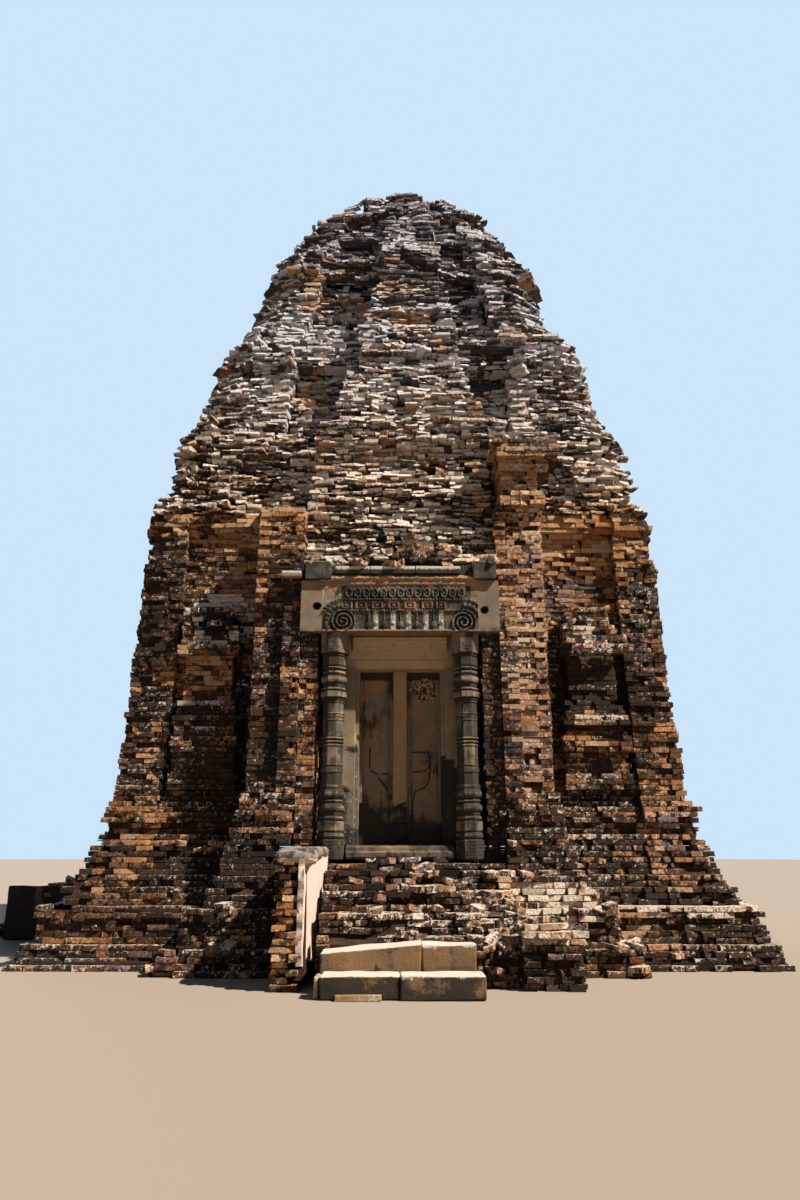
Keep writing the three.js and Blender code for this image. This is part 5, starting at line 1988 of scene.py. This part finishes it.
def brick_material():
    """Fired brick: a tone from each brick's marks, with bleaching, stain, lichen and soil over it, and
    faces turned upward paler, partly dust and partly a painted highlight.
    """
    material, tree, shader, place = new_material("fired_brick", 0.94)
    colours = bpy.context.scene.brick_colours
    tone, patina, lichen, bleaching = read_marks(tree, "brick")
    tone = mottled(tree, tone, place, scale=11.0, detail=5.0, reach=0.45)
    stops = [(0.0, colours.dark), (0.35, colours.brown), (0.68, colours.orange), (1.0, colours.tan)]
    clay = tree.mix(bleaching, tree.ramp(tone, stops), colours.bleached)
    facing = level_of(tree, tree.node("ShaderNodeNewGeometry").outputs["Normal"])
    # Faces turned upward are paler: partly dust, and partly a painted highlight on the rounded upper
    # edges of the bricks.
    dust_and_highlight = tree.step(facing, low=0.15, high=0.8, to_high=0.24)
    aloft = tree.step(level_of(tree, place), low=5.4, high=9.5)
    soil = tree.math("MULTIPLY", tree.step(facing, low=0.80, high=0.97, to_high=0.45), aloft)
    colour = grown_over(
        tree,
        place,
        colour=clay,
        patina_colour=tree.mix(aloft, colours.patina, colours.slate),
        lichen_colour=tree.mix(aloft, colours.cream, colours.lichen),
        patina=tree.math("ADD", patina, soil),
        lichen=tree.math("SUBTRACT", tree.math("ADD", lichen, dust_and_highlight), soil),
        patina_scale=16.0,
        lichen_scale=22.0,
        contrast=3.6,
    )
    tree.join(colour, shader.inputs["Base Color"])
    rough_surface(tree, shader, place, fine=110.0, coarse=30.0, distance=0.055)
    return material


def core_material():
    """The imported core: dark earth low down, and grey where it is washed high up."""
    material, tree, shader, place = new_material("packed_core", 1.0)
    mottle = tree.noise(place, scale=8.0, detail=4.0)
    low = tree.ramp(mottle, [(0.3, (0.02, 0.012, 0.008)), (0.7, (0.07, 0.036, 0.020))])
    high = tree.ramp(mottle, [(0.3, (0.03, 0.024, 0.022)), (0.7, (0.09, 0.075, 0.068))])
    aloft = tree.step(level_of(tree, place), low=5.4, high=8.0)
    tree.join(tree.mix(aloft, low, high), shader.inputs["Base Color"])
    rough_surface(tree, shader, place, fine=60.0, coarse=12.0, distance=0.03)
    return material


class SHRINE_OT_brickwork(bpy.types.Operator):
    """Lay the courses of brick round every masonry solid"""

    bl_idname = "shrine.brickwork"
    bl_label = "Lay brickwork"

    def execute(self, context):
        materials = {"brick": brick_material(), "core": core_material()}
        shapes = brick_shapes()
        courses = course_cuts(frame["nodes"])
        behind = course_cuts([node for node in frame["nodes"] if node != PEDIMENT])
        for node, (kind, depth) in MASONRY.items():
            cuts = behind if node == WALL_BEHIND else courses
            lay_node(node, kind, depth, cuts, shapes, materials)
        return {"FINISHED"}


class SHRINE_OT_doors(bpy.types.Operator):
    """Carve the sandstone doors on the four sides"""

    bl_idname = "shrine.doors"
    bl_label = "Carve doors"

    def execute(self, context):
        stone = shared(bpy.data.materials, "carved_sandstone", sandstone_material)
        cell, coarser = context.scene.carving.cell, context.scene.carving.coarser
        right = colonette()
        left = mirrored_copy(right)
        front = {
            "front_lintel": lintel(cell),
            "front_lintel_cornice": cornice(),
            "front_blind_door": leaves(cell, True),
            "front_door_band": band(),
            "front_right_jamb": front_jamb(1),
            "front_left_jamb": front_jamb(-1),
            "front_door_head": head(),
            "front_sill": sill(),
            "front_right_colonette": right,
            "front_left_colonette": left,
        }
        marks = plain_marks(tone=0.60, dirt_and_shade=0.30, bloom=0.15, rust=0.15, seed=82.0)
        plain = marked(jamb(1), marks)
        plain_lintel = lintel(cell * coarser)
        plain_leaves = leaves(cell * coarser, False)
        opposite = mirrored_copy(plain)
        open_frame = [plain, opposite, front["front_door_head"], front["front_sill"]]
        blind_frame = [*open_frame, plain_leaves, front["front_door_band"]]
        for side, turn in SIDES.items():
            whole = {
                "door_frame": open_frame if side == "back" else blind_frame,
                "lintel": [plain_lintel, front["front_lintel_cornice"]],
                "right_colonette": [right],
                "left_colonette": [left],
            }
            for name, sources in whole.items():
                piece = joined([turned_copy(source, turn) for source in sources])
                node = side + "_" + name
                finish_piece(piece, node + "_stone", stone, [node])
        for source in (plain, opposite, plain_lintel, plain_leaves):
            bpy.data.objects.remove(source)
        for node, piece in front.items():
            finish_piece(piece, node + "_stone", stone, [node])
        finish_piece(pilaster_cap(), "left_pilaster_cap", stone)
        return {"FINISHED"}


class SHRINE_OT_treads(bpy.types.Operator):
    """Set the tread stones and the plaster of the stairs"""

    bl_idname = "shrine.treads"
    bl_label = "Set treads and plaster"

    def execute(self, context):
        stone = shared(bpy.data.materials, "tread_stone", tread_material)
        plaster = shared(bpy.data.materials, "lime_plaster", plaster_material)
        upper = treads(UPPER_TREADS, [UPPER_BED])
        finish_piece(upper, "upper_tread_stones", stone, ["front_upper_tread"])
        lower = treads(LOWER_TREADS, [LOWER_END, LOWER_SLAB])
        finish_piece(lower, "lower_tread_stones", stone, ["front_lower_tread"])
        coat = marked(joined([plaster_sheet(), plaster_cap()]), plaster_marks)
        finish_piece(coat, "stair_wall_plaster", plaster)
        finish_piece(side_plaster(), "left_stair_plaster", plaster)
        return {"FINISHED"}


class SHRINE_OT_rubble(bpy.types.Operator):
    """Drop loose bricks on the ledges and the stair"""

    bl_idname = "shrine.rubble"
    bl_label = "Drop loose bricks"

    def execute(self, context):
        rng = np.random.default_rng(context.scene.brick_sizes.seed)
        piece = fallen_bricks(brick_shapes(), rng)
        finish_piece(piece, "loose_bricks", bpy.data.materials["fired_brick"])
        return {"FINISHED"}


# The stage: the floor, the colours of the sky as light and as it is seen, and each sun, with its
# strength, its width in degrees, its colour and where it stands from the tower.
FLOOR_RADIUS, FLOOR_COLOUR = 90, (0.230, 0.186, 0.147, 1)
SKY_LIGHT, SKY_STRENGTH, SKY_SEEN = (0.60, 0.77, 1.0, 1), 0.25, (0.60, 0.78, 0.95, 1)
SUNS = {
    "key_light": (9.8, 0.9, (1.0, 0.93, 0.82), (0.92, -0.43, 1.15)),
    "fill_light": (1.4, 45, (0.86, 0.93, 1.0), (-0.25, 1.0, 0.28)),
}
CAMERA_PLACE, CAMERA_TILT, LENS, SENSOR = (0, -13.5, 1.26), 107.2, 24, 36


def pale_floor():
    """A wide plain floor."""
    deselect()
    bpy.ops.mesh.primitive_circle_add(vertices=96, radius=FLOOR_RADIUS, fill_type="NGON")
    floor = bpy.context.object
    floor.name = "floor"
    material = bpy.data.materials.new("pale_floor")
    material.use_nodes = True
    shader = material.node_tree.nodes["Principled BSDF"]
    shader.inputs["Base Color"].default_value = FLOOR_COLOUR
    shader.inputs["Roughness"].default_value = 1.0
    floor.data.materials.append(material)
    return floor


def soft_room():
    """A world that lights the tower softly, and shows as a plain sky."""
    world = bpy.data.worlds.new("soft_room")
    world.use_nodes = True
    tree = Tree(world.node_tree)
    light = world.node_tree.nodes["Background"]
    light.inputs[0].default_value = SKY_LIGHT
    light.inputs[1].default_value = SKY_STRENGTH
    shown = tree.node("ShaderNodeBackground")
    shown.inputs[0].default_value = SKY_SEEN
    mix = tree.node("ShaderNodeMixShader")
    tree.join(tree.node("ShaderNodeLightPath").outputs["Is Camera Ray"], mix.inputs[0])
    tree.join(light.outputs[0], mix.inputs[1])
    tree.join(shown.outputs[0], mix.inputs[2])
    tree.join(mix.outputs[0], world.node_tree.nodes["World Output"].inputs[0])
    return world


class SHRINE_OT_stage(bpy.types.Operator):
    """Set the floor, the light and the camera"""

    bl_idname = "shrine.stage"
    bl_label = "Set the stage"

    def execute(self, context):
        pale_floor()
        context.scene.view_settings.view_transform = "Standard"
        context.scene.world = soft_room()
        for name, (energy, width, colour, place) in SUNS.items():
            bpy.ops.object.light_add(type="SUN")
            sun = context.object
            sun.name = name
            sun.data.energy = energy
            sun.data.angle = math.radians(width)
            sun.data.color = colour
            sun.rotation_euler = Vector(place).to_track_quat("Z", "Y").to_euler()
        tilt = (math.radians(CAMERA_TILT), 0, 0)
        bpy.ops.object.camera_add(location=CAMERA_PLACE, rotation=tilt)
        camera = context.object
        camera.data.lens = LENS
        camera.data.sensor_width = SENSOR
        context.scene.camera = camera
        return {"FINISHED"}


class SHRINE_PT_panel(bpy.types.Panel):
    """Operators that build the tower"""

    bl_idname = "SHRINE_PT_panel"
    bl_label = "Shrine tower"
    bl_space_type = "VIEW_3D"
    bl_region_type = "UI"
    bl_category = "Shrine"

    def draw(self, context):
        for operator in OPERATORS:
            self.layout.operator(operator.bl_idname)


OPERATORS = (
    SHRINE_OT_brickwork,
    SHRINE_OT_doors,
    SHRINE_OT_treads,
    SHRINE_OT_rubble,
    SHRINE_OT_stage,
)
SETTINGS = {
    "brick_sizes": BrickSizes,
    "brick_colours": BrickColours,
    "stone_colours": StoneColours,
    "carving": Carving,
}
CLASSES = (*SETTINGS.values(), *OPERATORS, SHRINE_PT_panel)


def register():
    for each in CLASSES:
        bpy.utils.register_class(each)
    for name, group in SETTINGS.items():
        setattr(bpy.types.Scene, name, bpy.props.PointerProperty(type=group))


def unregister():
    for name in SETTINGS:
        delattr(bpy.types.Scene, name)
    for each in reversed(CLASSES):
        bpy.utils.unregister_class(each)


def main():
    register()
    bpy.ops.shrine.brickwork()
    bpy.ops.shrine.doors()
    bpy.ops.shrine.treads()
    bpy.ops.shrine.rubble()
    bpy.ops.shrine.stage()


if __name__ == "__main__":
    main()
